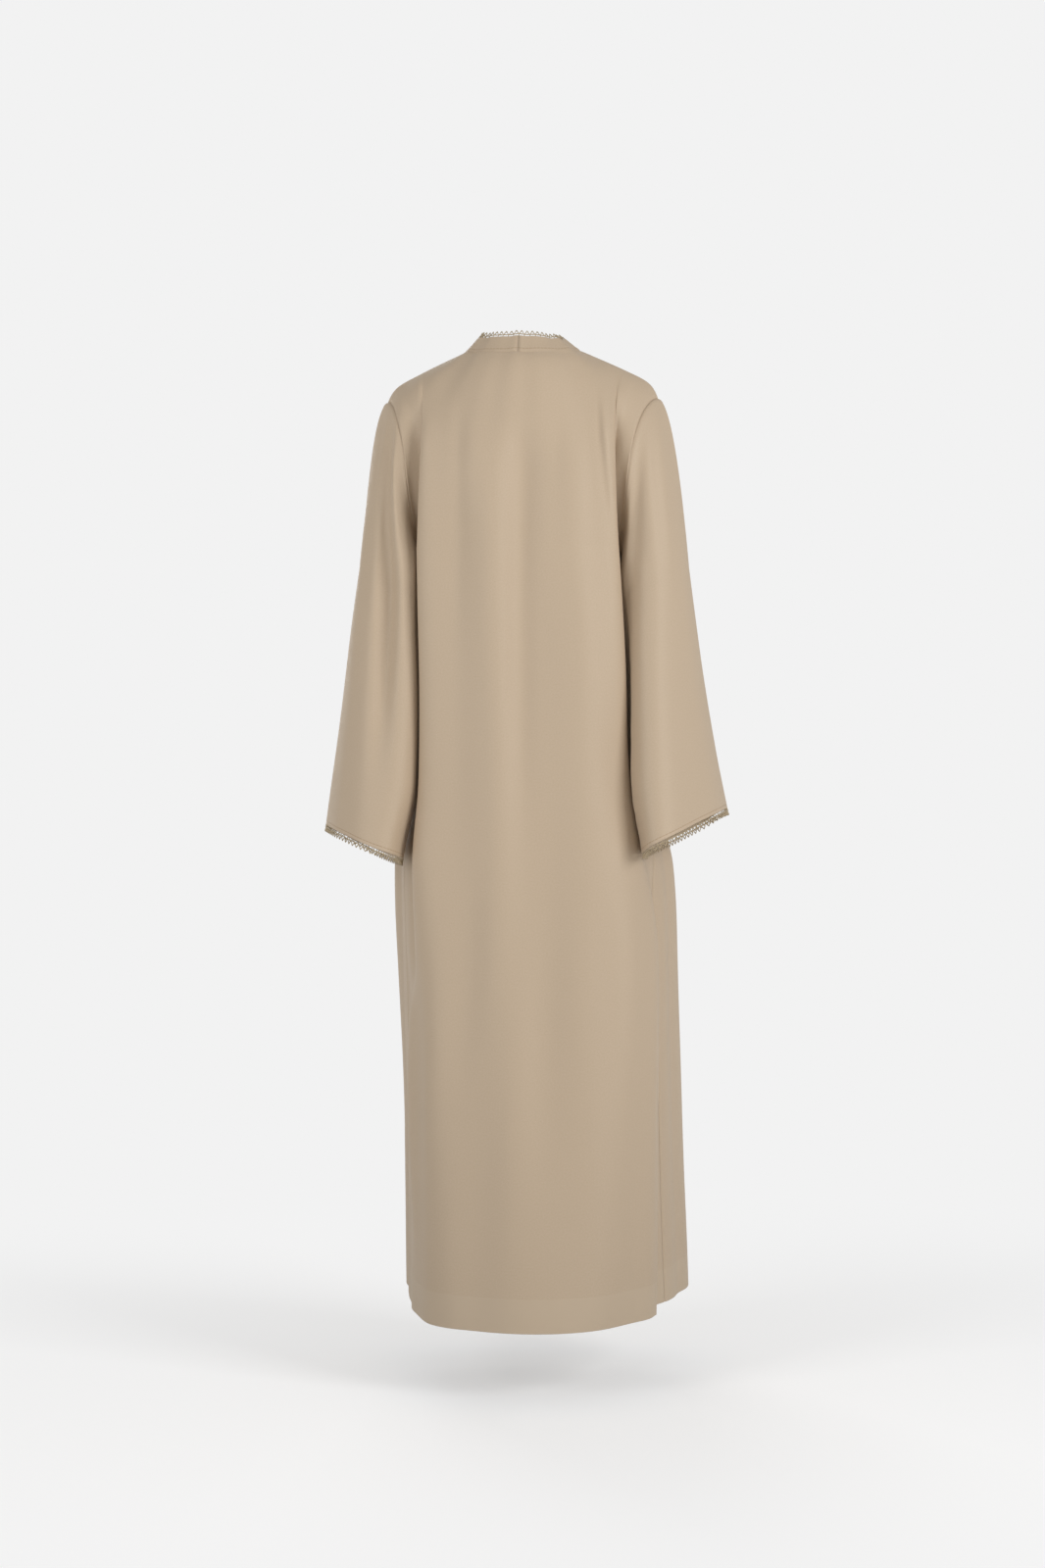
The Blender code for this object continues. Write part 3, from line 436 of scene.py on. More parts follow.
# Sleeve rings: Hermite strands from the armhole to the first ellipse, then ellipses down to the cuff. All
# are drawn in by a bell of the angle, and kept clear of the back and front panels
def sleeveTube(side):
    table = sleeveTable[side]
    heights = table[:, sleeveColumns.index("height")]
    backEdge, frontEdge = armholeLine(side, yokeShares, 1.0), armholeLine(side, yokeShares, -1.0)
    armhole = np.concatenate((backEdge, frontEdge[-2:0:-1]))
    angle = np.concatenate((yokeShares * 180.0, 360.0 - yokeShares[-2:0:-1] * 180.0))
    turn = np.radians(angle)
    footShare = (1.0 - np.cos(turn))[:, None] / 2

    def ellipses(levels):
        at = {name: curveThrough(-levels, -heights, table[:, sleeveColumns.index(name)])
              for name in sleeveColumns}
        rise, skew, dip = (np.radians(at[name]) for name in ("rise", "turn", "dip"))
        outward = np.stack((np.cos(skew) * np.cos(rise), np.zeros_like(rise), np.sin(rise)), axis=1)
        backward = np.stack((-np.sin(skew), np.cos(skew), np.tan(dip)), axis=1)
        centre = np.stack((at["out"], at["back"], levels), axis=1)
        return (centre[:, None] + (at["halfWidth"][:, None] * np.cos(turn))[:, :, None] * outward[:, None]
                + (at["halfDepth"][:, None] * np.sin(turn))[:, :, None] * backward[:, None])

    first = ellipses(heights[:1])[0]
    leaves = (1.0 - footShare) * np.array(sleeveHang["topLeaves"])
    leaves = leaves + footShare * np.array(sleeveHang["footLeaves"])
    for sideAngle, spread, towards in sleeveHang["sideBells"]:
        near = np.exp(-(((angle - sideAngle) / spread) ** 2))[:, None]
        leaves = leaves * (1.0 - near) + near * np.array(sleeveHang["sideLeaves"]) * (1.0, towards, 1.0)
    comes = (1.0 - footShare) * np.array(sleeveHang["topComes"])
    comes = comes + footShare * np.array(sleeveHang["footComes"])
    u = linesWith(0.0, 1.0, 40, (0.008, 0.016, 0.036))[:, None, None]
    upper = (armhole * (1.0 + 2.0 * u) * (1.0 - u) ** 2 + leaves * u * (1.0 - u) ** 2
             + first * u * u * (3.0 - 2.0 * u) + comes * u * u * (u - 1.0))
    levels = np.linspace(heights[0], heights[-1], 62 // coarse + 1)[1:]
    levels = np.concatenate((levels[:-1], heights[-1] + cuffLines))
    levels = np.unique(levels)[::-1]
    rings = np.concatenate((upper, ellipses(levels)))
    belowFirst = (heights[0] - levels) / (heights[0] - heights[-1])
    above, under = sleeveHang["rowsAbove"], sleeveHang["rowsBelow"]
    along = np.concatenate((u[:, 0, 0] * above, above + under * belowFirst)) / (above + under)
    outward = rings - rings.mean(axis=1, keepdims=True)
    outward[:, :, 2] = 0.0
    rings[1:] += (sleeveFoldDepth(side, along[:, None], angle[None, :])[:, :, None] * unit(outward))[1:]
    height = rings[1:, :, 2]
    below = cloakSize["underarm"] - height
    hug, cuffHug = sleeveHang["hug"][side], sleeveHang["cuffHug"][side]
    eased = 1.0 - smoothRise((sleeveHang["hugEnds"] - height) / sleeveHang["hugFade"])
    hug = (cuffHug + (hug - cuffHug) * eased) * smoothRise(along[1:, None] / sleeveHang["hugGrows"])
    nearFoot = np.exp(-(((angle - 180.0) / sleeveHang["footSpread"]) ** 2))
    hug = hug * (1.0 - nearFoot * (1.0 - smoothRise(below / sleeveHang["footFade"])))
    rings[1:, :, 0] -= hug * np.exp(-(((angle - sleeveHang["hugAngle"]) / sleeveHang["hugSpread"]) ** 2))
    closing = ((height - sleeveHang["closesAt"]) / sleeveHang["closesHalf"]) ** 2
    closing = closing + ((angle - 180.0) / sleeveHang["closesSpread"]) ** 2
    rings[1:, :, 0] -= sleeveHang["closes"] * np.exp(-closing)
    clear = sleeveHang["clearance"] * smoothRise(below / sleeveHang["clearanceRise"])
    clear = clear + sleeveHang["leastClearance"]
    rings[1:, :, 0] = np.maximum(rings[1:, :, 0], bodyReach(side, rings[1:]) + clear)
    return rings * (sideSign[side], 1.0, 1.0)


# Neckband and the front bands as one strip: it leaves the seam along the panel, or stands and leans in at
# the neck
neckband = {
    "width": 0.031, "leanMiddle": 0.60, "lean": {"left": 0.90, "right": 1.25}, "flatHeight": -0.150,
    "cells": 12 // coarse, "centreGroove": 0.0003, "centreHalf": 0.0010,
}


def bandStrip(side, back, front):
    count = len(neckShares) - 1
    seam = np.concatenate((back[0, :count], front[:, -1]))
    inside = np.concatenate((back[1, :count], front[:, -2]))
    along = np.gradient(seam, axis=0)
    along[0] = (sideSign[side], 0.0, 0.0)
    along = unit(along)
    flat = unit(seam - inside)
    turned = smoothRise(np.minimum(np.arange(len(seam)) / count, 1.0))[:, None]
    lean = neckband["leanMiddle"] + (neckband["lean"][side] - neckband["leanMiddle"]) * turned
    stand = unit(unit(-seam * (1.0, 1.0, 0.0)) * lean + np.array((0.0, 0.0, 1.0)))
    share = smoothRise((seam[:, 2] - neckband["flatHeight"]) / -neckband["flatHeight"])[:, None]
    share[:count + 1] = 1.0
    way = stand * share + flat * (1.0 - share)
    way = unit(way - along * np.sum(way * along, axis=1, keepdims=True))
    across = np.unique(np.concatenate((np.linspace(0.0, 1.0, neckband["cells"] + 1), (0.04, 0.97))))
    return seam[:, None, :] + way[:, None, :] * (across * neckband["width"])[None, :, None]


# Quads of a grid, row by row; a closed grid joins its last column to its first
def gridQuads(rows, columns, closed):
    i, j = np.meshgrid(np.arange(rows - 1), np.arange(columns if closed else columns - 1), indexing="ij")
    k = (j + 1) % columns
    corners = (i * columns + j, i * columns + k, (i + 1) * columns + k, (i + 1) * columns + j)
    return np.stack(corners, axis=-1).reshape(-1, 4)


# Normals shared by every piece that meets at a point: the sum of the unit normals of all quads round it
def sharedNormals(pieces):
    points = np.concatenate([piece["grid"].reshape(-1, 3) for piece in pieces.values()])
    numbers = np.unique(np.round(points, 6), axis=0, return_inverse=True)[1].reshape(-1)
    normals = np.zeros((numbers.max() + 1, 3))
    start = 0
    for piece in pieces.values():
        own = piece["grid"].reshape(-1, 3)
        corners = own[piece["quads"]]
        face = unit(np.cross(corners[:, 2] - corners[:, 0], corners[:, 3] - corners[:, 1]))
        for k in range(4):
            np.add.at(normals, numbers[start + piece["quads"][:, k]], face)
        start += len(own)
    normals = unit(normals)[numbers]
    start = 0
    for piece in pieces.values():
        count = piece["grid"].shape[0] * piece["grid"].shape[1]
        piece["normals"] = normals[start:start + count].reshape(piece["grid"].shape)
        start += count


# Lengths walked along the rows (0) or the columns (1) of a grid
def walked(grid, axis):
    steps = np.linalg.norm(np.diff(grid, axis=axis), axis=2)
    start = np.zeros_like(steps[:1] if axis == 0 else steps[:, :1])
    return np.concatenate((start, np.cumsum(steps, axis=axis)), axis=axis)


# Groove of a stitched seam with the cloth puffed beside it, by the distance from the seam
def seamGroove(distance):
    return (-clothMake["grooveDepth"] * np.exp(-((distance / clothMake["grooveHalf"]) ** 2))
            + clothMake["puff"] * np.exp(-(((distance - clothMake["puffAt"]) / clothMake["puffHalf"]) ** 2)))


# Slow waves that hanging cloth always has: three sines of a point's height and of its place round the cloak,
# at a radius of 0.16 m, each 0.3 to 0.7 mm high
def softWaves(points):
    x, y, z = points[..., 0], points[..., 1], points[..., 2]
    girth = np.arctan2(x, y) * 0.16
    return (0.0007 * np.sin(2.0 * np.pi * (girth / 0.093 + 0.30 * np.sin(z * 4.1 + 0.6)))
            + 0.0005 * np.sin(2.0 * np.pi * (girth / 0.061 + z / 1.7 + 0.22 * np.sin(z * 6.3)) + 1.1)
            + 0.0003 * np.sin(2.0 * np.pi * (z / 0.31 + girth / 0.21) + 2.0))


# Closed shell: the edge is drawn back by half the gap inside the surface, and the wall goes in along the
# normals
def shellArrays(points, quads, normals, wall, gap):
    count = len(points)
    edges = np.stack((quads, np.roll(quads, -1, axis=1)), axis=2).reshape(-1, 2)
    rim = edges[~np.isin(edges[:, 0] * count + edges[:, 1], edges[:, 1] * count + edges[:, 0])]
    inward = np.zeros_like(points)
    centres = points[quads].mean(axis=1)
    for k in range(4):
        np.add.at(inward, quads[:, k], unit(centres - points[quads[:, k]]))
    along = np.zeros_like(points)
    np.add.at(along, rim[:, 0], unit(points[rim[:, 1]] - points[rim[:, 0]]))
    np.add.at(along, rim[:, 1], unit(points[rim[:, 1]] - points[rim[:, 0]]))
    along = unit(along)
    inward -= along * np.sum(inward * along, axis=1, keepdims=True)
    inward -= normals * np.sum(inward * normals, axis=1, keepdims=True)
    onRim = np.zeros(count, dtype=bool)
    onRim[rim[:, 0]] = True
    outer = points + np.where(onRim[:, None], unit(inward) * gap * 0.5, 0.0)
    inner = outer - normals * wall[:, None]
    sides = np.stack((rim[:, 1], rim[:, 0], rim[:, 0] + count, rim[:, 1] + count), axis=1)
    faces = np.concatenate((quads, quads[:, ::-1] + count, sides))
    return np.concatenate((outer, inner)), faces


# Mesh object from whole arrays, with its UV map in metres; all but the last flat faces are smooth
def meshObject(name, points, faces, uv, material, flat=0):
    mesh = bpy.data.meshes.new(name)
    mesh.vertices.add(len(points))
    mesh.vertices.foreach_set("co", points.astype(np.float32).ravel())
    mesh.loops.add(faces.size)
    mesh.loops.foreach_set("vertex_index", faces.astype(np.int32).ravel())
    mesh.polygons.add(len(faces))
    mesh.polygons.foreach_set("loop_start", np.arange(0, faces.size, faces.shape[1], dtype=np.int32))
    mesh.polygons.foreach_set("use_smooth", np.arange(len(faces)) < len(faces) - flat)
    layer = mesh.uv_layers.new(name="clothMetres")
    layer.data.foreach_set("uv", uv[faces.ravel()].astype(np.float32).ravel())
    mesh.materials.append(material)
    mesh.update(calc_edges=True)
    mesh.validate()
    made = bpy.data.objects.new(name, mesh)
    bpy.context.scene.collection.objects.link(made)
    return made


# sRGB hex to linear colour
def hexColour(code):
    parts = [int(code[i:i + 2], 16) / 255.0 for i in (1, 3, 5)]
    return tuple(c / 12.92 if c <= 0.04045 else ((c + 0.055) / 1.055) ** 2.4 for c in parts) + (1.0,)


# Adds one node; a value that is a socket is linked, and anything else is set on its socket
def addNode(tree, kind, inputs=None, **settings):
    node = tree.nodes.new(kind)
    for name, value in settings.items():
        setattr(node, name, value)
    for name, value in (inputs or {}).items():
        if isinstance(value, bpy.types.NodeSocket):
            tree.links.new(value, node.inputs[name])
        else:
            node.inputs[name].default_value = value
    return node


# Polyester crepe of fine twisted yarn, piece dyed: a matt pebbled face with a soft satin sheen. Lengths are
# metres of the cloth; waveShare turns a yarn's width into a wave texture's scale
crepe = {
    "colour": "#bba78f", "shade": "#b6a289", "hemColour": "#bba890", "thread": "#a1886c",
    "roughness": 0.60, "ior": 1.50, "sheen": 0.22, "sheenRough": 0.45, "sheenTint": "#f2e6d6",
    "bump": 0.35, "bumpHeight": 0.00025,
    "waveShare": 0.314, "yarn": 0.0007, "pebble": 0.0016, "pebbleShare": 0.35, "speckle": 0.0024,
    "hemAt": 0.0485, "hemEdge": 0.0012, "hemStep": 0.8,
    "stitch": 0.0028, "stitchOut": 0.0008, "stitchIn": 0.0003, "stitchSunk": -1.6,
    "dashFrom": 0.10, "dashTo": 0.25, "stitchAt": {"sleeve": 0.0055, "band": 0.0070},
}


# hemAt is the height above the edge at which the turned-up hem ends, and stitchAt the distance of the row
# of stitches from the edge or seam that V is measured from
def makeCrepe(name, hemAt=None, stitchAt=None):
    material = bpy.data.materials.new(name)
    material.use_nodes = True
    tree = material.node_tree
    shader = tree.nodes["Principled BSDF"]
    shader.inputs["Roughness"].default_value = crepe["roughness"]
    shader.inputs["IOR"].default_value = crepe["ior"]
    shader.inputs["Sheen Weight"].default_value = crepe["sheen"]
    shader.inputs["Sheen Roughness"].default_value = crepe["sheenRough"]
    shader.inputs["Sheen Tint"].default_value = hexColour(crepe["sheenTint"])
    uv = addNode(tree, "ShaderNodeUVMap", uv_map="clothMetres").outputs["UV"]
    place = addNode(tree, "ShaderNodeTexCoord").outputs["Object"]
    parts = addNode(tree, "ShaderNodeSeparateXYZ", {"Vector": uv}).outputs
    # Yarn takes the dye a little unevenly: a fine speckle, hardly seen from a step away
    speckle = {"Vector": uv, "Scale": 1.0 / crepe["speckle"], "Detail": 3.0}
    tone = addNode(tree, "ShaderNodeTexNoise", speckle).outputs["Fac"]
    tone = {"Value": tone, "From Min": 0.3, "From Max": 0.7}
    tone = addNode(tree, "ShaderNodeMapRange", tone).outputs["Result"]
    colour = {"Factor": tone, 6: hexColour(crepe["shade"]), 7: hexColour(crepe["colour"])}
    colour = addNode(tree, "ShaderNodeMix", colour, data_type="RGBA").outputs[2]
    # Crossed yarns 0.7 mm apart, drawn coarser than the real 0.25 mm so that they show, under crepe pebbles
    yarns = {"Vector": uv, "Scale": crepe["waveShare"] / crepe["yarn"], "Distortion": 1.2, "Detail": 1.0}
    waves = []
    for direction in ("X", "Y"):
        wave = addNode(tree, "ShaderNodeTexWave", yarns, wave_type="BANDS", bands_direction=direction)
        waves.append(wave.outputs["Fac"])
    weave = addNode(tree, "ShaderNodeMath", {0: waves[0], 1: waves[1]}, operation="ADD").outputs[0]
    grain = {"Vector": place, "Scale": 1.0 / crepe["pebble"], "Detail": 3.0, "Roughness": 0.6}
    pebbles = addNode(tree, "ShaderNodeTexNoise", grain).outputs["Fac"]
    height = {0: weave, 1: crepe["pebbleShare"], 2: pebbles}
    height = addNode(tree, "ShaderNodeMath", height, operation="MULTIPLY_ADD").outputs[0]
    if hemAt:
        # Double cloth of the hem: a trace paler, with a faint step at its turned edge
        above, below = hemAt + crepe["hemEdge"], hemAt - crepe["hemEdge"]
        edge = {"Value": parts["Y"], "From Min": above, "From Max": below}
        inHem = addNode(tree, "ShaderNodeMapRange", edge, interpolation_type="SMOOTHSTEP").outputs["Result"]
        colour = {"Factor": inHem, 6: colour, 7: hexColour(crepe["hemColour"])}
        colour = addNode(tree, "ShaderNodeMix", colour, data_type="RGBA").outputs[2]
        height = {0: inHem, 1: crepe["hemStep"], 2: height}
        height = addNode(tree, "ShaderNodeMath", height, operation="MULTIPLY_ADD").outputs[0]
    if stitchAt:
        # Lockstitches 2.8 mm long in thread darker than the cloth, sunk into it
        away = addNode(tree, "ShaderNodeMath", {0: parts["Y"], 1: stitchAt}, operation="SUBTRACT").outputs[0]
        away = addNode(tree, "ShaderNodeMath", {0: away}, operation="ABSOLUTE").outputs[0]
        line = {"Value": away, "From Min": crepe["stitchOut"], "From Max": crepe["stitchIn"]}
        line = addNode(tree, "ShaderNodeMapRange", line).outputs["Result"]
        dash = {0: parts["X"], 1: 1.0 / crepe["stitch"]}
        dash = addNode(tree, "ShaderNodeMath", dash, operation="MULTIPLY").outputs[0]
        dash = addNode(tree, "ShaderNodeMath", {0: dash, 1: 1.0}, operation="PINGPONG").outputs[0]
        dash = {"Value": dash, "From Min": crepe["dashFrom"], "From Max": crepe["dashTo"]}
        dash = addNode(tree, "ShaderNodeMapRange", dash).outputs["Result"]
        stitch = addNode(tree, "ShaderNodeMath", {0: line, 1: dash}, operation="MULTIPLY").outputs[0]
        colour = {"Factor": stitch, 6: colour, 7: hexColour(crepe["thread"])}
        colour = addNode(tree, "ShaderNodeMix", colour, data_type="RGBA").outputs[2]
        height = {0: line, 1: crepe["stitchSunk"], 2: height}
        height = addNode(tree, "ShaderNodeMath", height, operation="MULTIPLY_ADD").outputs[0]
    relief = {"Height": height, "Strength": crepe["bump"], "Distance": crepe["bumpHeight"]}
    bump = addNode(tree, "ShaderNodeBump", relief)
    tree.links.new(bump.outputs["Normal"], shader.inputs["Normal"])
    tree.links.new(colour, shader.inputs["Base Color"])
    return material


# Crocheted edging of cotton thread: matt and twisted, a trace lighter than the crepe, with painted shade in
# the hollows of its twist
picotThread = {
    "colour": "#c0af92", "shade": "#8e7a5a", "roughness": 0.72, "sheen": 0.15, "twist": 0.0011,
    "turned": (0.5, 0.6, 0.7), "bump": 0.5, "bumpHeight": 0.00015,
}


def makeThread(name):
    material = bpy.data.materials.new(name)
    material.use_nodes = True
    tree = material.node_tree
    shader = tree.nodes["Principled BSDF"]
    shader.inputs["Roughness"].default_value = picotThread["roughness"]
    shader.inputs["Sheen Weight"].default_value = picotThread["sheen"]
    place = addNode(tree, "ShaderNodeTexCoord").outputs["Object"]
    turned = {"Vector": place, "Rotation": picotThread["turned"]}
    turned = addNode(tree, "ShaderNodeMapping", turned).outputs["Vector"]
    strands = {"Vector": turned, "Scale": crepe["waveShare"] / picotThread["twist"], "Distortion": 2.0}
    twist = addNode(tree, "ShaderNodeTexWave", strands, wave_type="BANDS", bands_direction="DIAGONAL")
    twist = twist.outputs["Fac"]
    # Painted shade: the twist's bands mix in the darker shade colour, so the hollows between the strands read
    # as shaded
    colour = {"Factor": twist, 6: hexColour(picotThread["shade"]), 7: hexColour(picotThread["colour"])}
    colour = addNode(tree, "ShaderNodeMix", colour, data_type="RGBA").outputs[2]
    tree.links.new(colour, shader.inputs["Base Color"])
    relief = {"Height": twist, "Strength": picotThread["bump"], "Distance": picotThread["bumpHeight"]}
    bump = addNode(tree, "ShaderNodeBump", relief)
    tree.links.new(bump.outputs["Normal"], shader.inputs["Normal"])
    return material


panelCrepe = makeCrepe("crepeTwistedYarnHemmed", hemAt=crepe["hemAt"])
sleeveCrepe = makeCrepe("crepeTwistedYarnNarrowHem", stitchAt=crepe["stitchAt"]["sleeve"])
bandCrepe = makeCrepe("crepeTwistedYarnTopstitched", stitchAt=crepe["stitchAt"]["band"])
threadCotton = makeThread("cottonThreadCrocheted")

half = {side: backHalf(side) for side in sideSign}
front = {side: frontPanel(side) for side in sideSign}
tube = {side: sleeveTube(side) for side in sideSign}
strip = {side: bandStrip(side, half[side], front[side]) for side in sideSign}

pieces = {"back": {"grid": np.concatenate((half["right"][:, :0:-1], half["left"]), axis=1), "flip": False}}
for side in sideSign:
    pieces["front_" + side] = {"grid": front[side], "flip": side == "right"}
    pieces["sleeve_" + side] = {"grid": tube[side], "flip": side == "left", "closed": True}
    pieces["neckband_" + side] = {"grid": strip[side], "flip": side == "right"}
for piece in pieces.values():
    rows, columns = piece["grid"].shape[:2]
    quads = gridQuads(rows, columns, piece.get("closed", False))
    piece["quads"] = quads[:, ::-1] if piece["flip"] else quads
sharedNormals(pieces)

# Distance of every point from the seams of its piece, and the cloth's own place as UV: for the back, fronts
# and sleeves V is the height above the lower edge, and for the bands the distance from their seam
for name, piece in pieces.items():
    grid = piece["grid"]
    down, across = walked(grid, 0), walked(grid, 1)
    fromFoot = down[-1:] - down
    toSides = np.minimum(across, across[:, -1:] - across)
    if name.startswith("neckband"):
        distance = across
        piece["uv"] = np.stack((down, across), axis=2)
    elif name.startswith("sleeve"):
        distance = down
        piece["uv"] = np.stack((across, fromFoot), axis=2)
    else:
        distance = np.minimum(down, toSides)
        if name == "back":
            across = across - across[:, across.shape[1] // 2][:, None] + 0.5
        piece["uv"] = np.stack((across, fromFoot), axis=2)
    lifted = seamGroove(distance) + softWaves(grid)
    if name.startswith("neckband"):
        lifted = lifted - neckband["centreGroove"] * np.exp(-((down / neckband["centreHalf"]) ** 2))
    piece["surface"] = grid + piece["normals"] * lifted[:, :, None]

print("stage: cloth pieces")

# Each piece as a shell of its wall, with its area in square metres measured along its own surface, attached
# to the root
for name, piece in pieces.items():
    points = piece["surface"].reshape(-1, 3)
    normals = piece["normals"].reshape(-1, 3)
    quads = piece["quads"]
    wall = np.full(len(points), clothMake["wall"])
    if name.startswith("neckband"):
        material = bandCrepe
        wall[:] = clothMake["bandWall"]
    elif name.startswith("sleeve"):
        material = sleeveCrepe
    else:
        material = panelCrepe
        wall[-(len(hemLines) - 1) * piece["grid"].shape[1]:] = clothMake["hemWall"]
    shell, faces = shellArrays(points, quads, normals, wall, clothMake["gap"])
    uv = piece["uv"].reshape(-1, 2)
    rim = len(faces) - 2 * len(quads)
    cloth = meshObject(name + "_crepe", shell, faces, np.concatenate((uv, uv)), material, rim)
    corners = points[quads]
    crossed = np.cross(corners[:, 2] - corners[:, 0], corners[:, 3] - corners[:, 1])
    piece["area"] = float(0.5 * np.linalg.norm(crossed, axis=1).sum())
    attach(cloth, "root")
    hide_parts(name)
    print("  ", name, len(faces), "faces", round(piece["area"], 3), "m2")

# Picot edging: at every pitch a bar from the cloth's edge to a chain, and outside the chain a pointed loop.
# The pitch of 8.4 mm is coarser than the photo's of about 6.6 mm, so that the points show. loopHalf is a
# share of the pitch. A point's thread swells towards its tip, and the chain's from stitch to stitch
picot = {
    "pitch": 0.0084, "reach": 0.0098, "chainAt": 0.0036, "chainHalf": 0.00080, "chainSides": 6, "beat": 0.30,
    "bar": 0.00060, "barFoot": -0.0006, "barMiddle": 0.0012, "barSides": 4,
    "loop": 0.00070, "loopHalf": 0.46, "loopPower": 1.15, "loopSides": 5, "loopPoints": 9,
    "rise": 0.0003, "riseTurn": 3.1, "swell": 0.35, "swellHalf": 0.25,
}


# Tube round a path in strip space (along, out, up): rings stand square to the path
def stripTube(path, radius, sides):
    ahead = unit(np.gradient(path, axis=0))
    up = np.array((0.0, 0.0, 1.0))
    side = unit(np.cross(ahead, up))
    over = np.cross(side, ahead)
    angle = np.arange(sides) * 2.0 * np.pi / sides
    ring = np.cos(angle)[None, :, None] * side[:, None] + np.sin(angle)[None, :, None] * over[:, None]
    points = path[:, None] + ring * np.asarray(radius).reshape(-1, 1, 1)
    count = len(path)
    quads = gridQuads(count, sides, True)
    return points.reshape(-1, 3), quads


# One unit of the strip repeated at every start
def repeatUnit(unitPoints, unitFaces, starts, size):
    still = np.zeros_like(starts)
    points = unitPoints[None] + np.stack((starts, still, still), axis=1)[:, None]
    faces = unitFaces[None] + (np.arange(len(starts)) * len(unitPoints))[:, None, None]
    return points.reshape(-1, 3), faces.reshape(-1, 4) + size


# An edging: loops, bars and chain are made along a straight strip, then bent to the edge's own directions. A
# loop stands out from the chain by 1 - |t|^p, where t goes from -1 to 1 along it
def picotEdging(name, edge, out, normal):
    length = np.concatenate(([0.0], np.cumsum(np.linalg.norm(np.diff(edge, axis=0), axis=1))))
    out = unit(out)
    normal = unit(normal - out * np.sum(normal * out, axis=1, keepdims=True))
    repeats = int(round(length[-1] / picot["pitch"]))
    pitch = length[-1] / repeats
    tall = picot["reach"] - picot["chainAt"]
    t = np.linspace(-1.0, 1.0, picot["loopPoints"])
    loopPath = np.stack((pitch * (0.5 + picot["loopHalf"] * t),
                         picot["chainAt"] + tall * (1.0 - np.abs(t) ** picot["loopPower"]),
                         picot["rise"] * np.cos(t * picot["riseTurn"])), axis=1)
    swell = 1.0 + picot["swell"] * np.exp(-((t / picot["swellHalf"]) ** 2))
    loopPoints, loopFaces = stripTube(loopPath, picot["loop"] * swell, picot["loopSides"])
    barOut = np.array((picot["barFoot"], picot["barMiddle"], picot["chainAt"]))
    barPath = np.stack((np.zeros(3), barOut, np.zeros(3)), axis=1)
    barPoints, barFaces = stripTube(barPath, picot["bar"] * np.ones(3), picot["barSides"])
    starts = np.arange(repeats) * pitch
    points, faces = repeatUnit(loopPoints, loopFaces, starts, 0)
    more, moreFaces = repeatUnit(barPoints, barFaces, starts, len(points))
    points, faces = np.concatenate((points, more)), np.concatenate((faces, moreFaces))
    steps = repeats * 4
    s = np.linspace(0.0, length[-1], steps + 1)
    beat = 1.0 + picot["beat"] * np.cos(2.0 * np.pi * np.arange(steps + 1) / 2.0)
    chainPath = np.stack((s, np.full_like(s, picot["chainAt"]), np.zeros_like(s)), axis=1)
    chain, chainFaces = stripTube(chainPath, picot["chainHalf"] * beat, picot["chainSides"])
    faces = np.concatenate((faces, chainFaces + len(points)))
    points = np.concatenate((points, chain))
    s = np.clip(points[:, 0], 0.0, length[-1])
    mapped = [np.stack([np.interp(s, length, line[:, k]) for k in range(3)], axis=1)
              for line in (edge, out, normal)]
    placed = mapped[0] + unit(mapped[1]) * points[:, 1:2] + unit(mapped[2]) * points[:, 2:3]
    edging = meshObject(name, placed, faces, points[:, :2], threadCotton)
    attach(edging, "root")
    return edging


print("stage: picot edging")
for side in sideSign:
    piece = pieces["sleeve_" + side]
    ring = np.arange(piece["grid"].shape[1] + 1) % piece["grid"].shape[1]
    middle = piece["surface"][-1] - piece["normals"][-1] * clothMake["wall"] * 0.5
    way = unit(piece["grid"][-1] - piece["grid"][-5])
    edging = picotEdging("trim_cuff_" + side + "_thread", middle[ring], way[ring], piece["normals"][-1][ring])
    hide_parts("trim_cuff_" + side)

whole = {key: np.concatenate((pieces["neckband_right"][key][::-1], pieces["neckband_left"][key][1:]))
         for key in ("surface", "normals", "grid")}
middle = whole["surface"][:, -1] - whole["normals"][:, -1] * clothMake["bandWall"] * 0.5
way = whole["grid"][:, -1] - whole["grid"][:, -3]
edging = picotEdging("trim_neck_thread", middle, way, whole["normals"][:, -1])
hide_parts("trim_neck")

print("stage: floor, light and camera")

# Pale seamless floor: matt near the cloak, and between the two fade distances it turns into the same even
# light as the backdrop, so no horizon shows. Its glow is seen by the camera alone, and doesn't light the hem
studio = {
    "floor": -1.534, "rings": (0.6, 1.2, 2.0, 3.5, 6.0, 14.0), "sides": 96, "fadeFrom": 0.5, "fadeTo": 1.9,
    "tone": "#f2f2f2", "paper": 0.60, "matt": 0.9, "glow": 0.41, "ambient": 0.45,
}
turn = np.linspace(0.0, 2.0 * np.pi, studio["sides"] + 1)[:-1]
rings = np.array(studio["rings"])[:, None]
level = np.full((len(rings), studio["sides"]), studio["floor"])
floorPoints = np.stack((rings * np.cos(turn), rings * np.sin(turn), level), axis=2).reshape(-1, 3)
floorFaces = gridQuads(len(rings), studio["sides"], True)[:, ::-1].tolist() + [list(range(studio["sides"]))]
floorMesh = bpy.data.meshes.new("studioFloor")
floorMesh.from_pydata(floorPoints.tolist(), [], floorFaces)
floorMesh.update()
floor = bpy.data.objects.new("studioFloor", floorMesh)
bpy.context.scene.collection.objects.link(floor)
floorPaint = bpy.data.materials.new("paperSweepMatt")
floorPaint.use_nodes = True
tree = floorPaint.node_tree
shader = tree.nodes["Principled BSDF"]
shader.inputs["Base Color"].default_value = (studio["paper"], studio["paper"], studio["paper"], 1.0)
shader.inputs["Roughness"].default_value = studio["matt"]
shader.inputs["Emission Color"].default_value = hexColour(studio["tone"])
seenOnly = addNode(tree, "ShaderNodeLightPath").outputs["Is Camera Ray"]
lit = addNode(tree, "ShaderNodeMath", {0: seenOnly, 1: studio["glow"]}, operation="MULTIPLY").outputs[0]
tree.links.new(lit, shader.inputs["Emission Strength"])
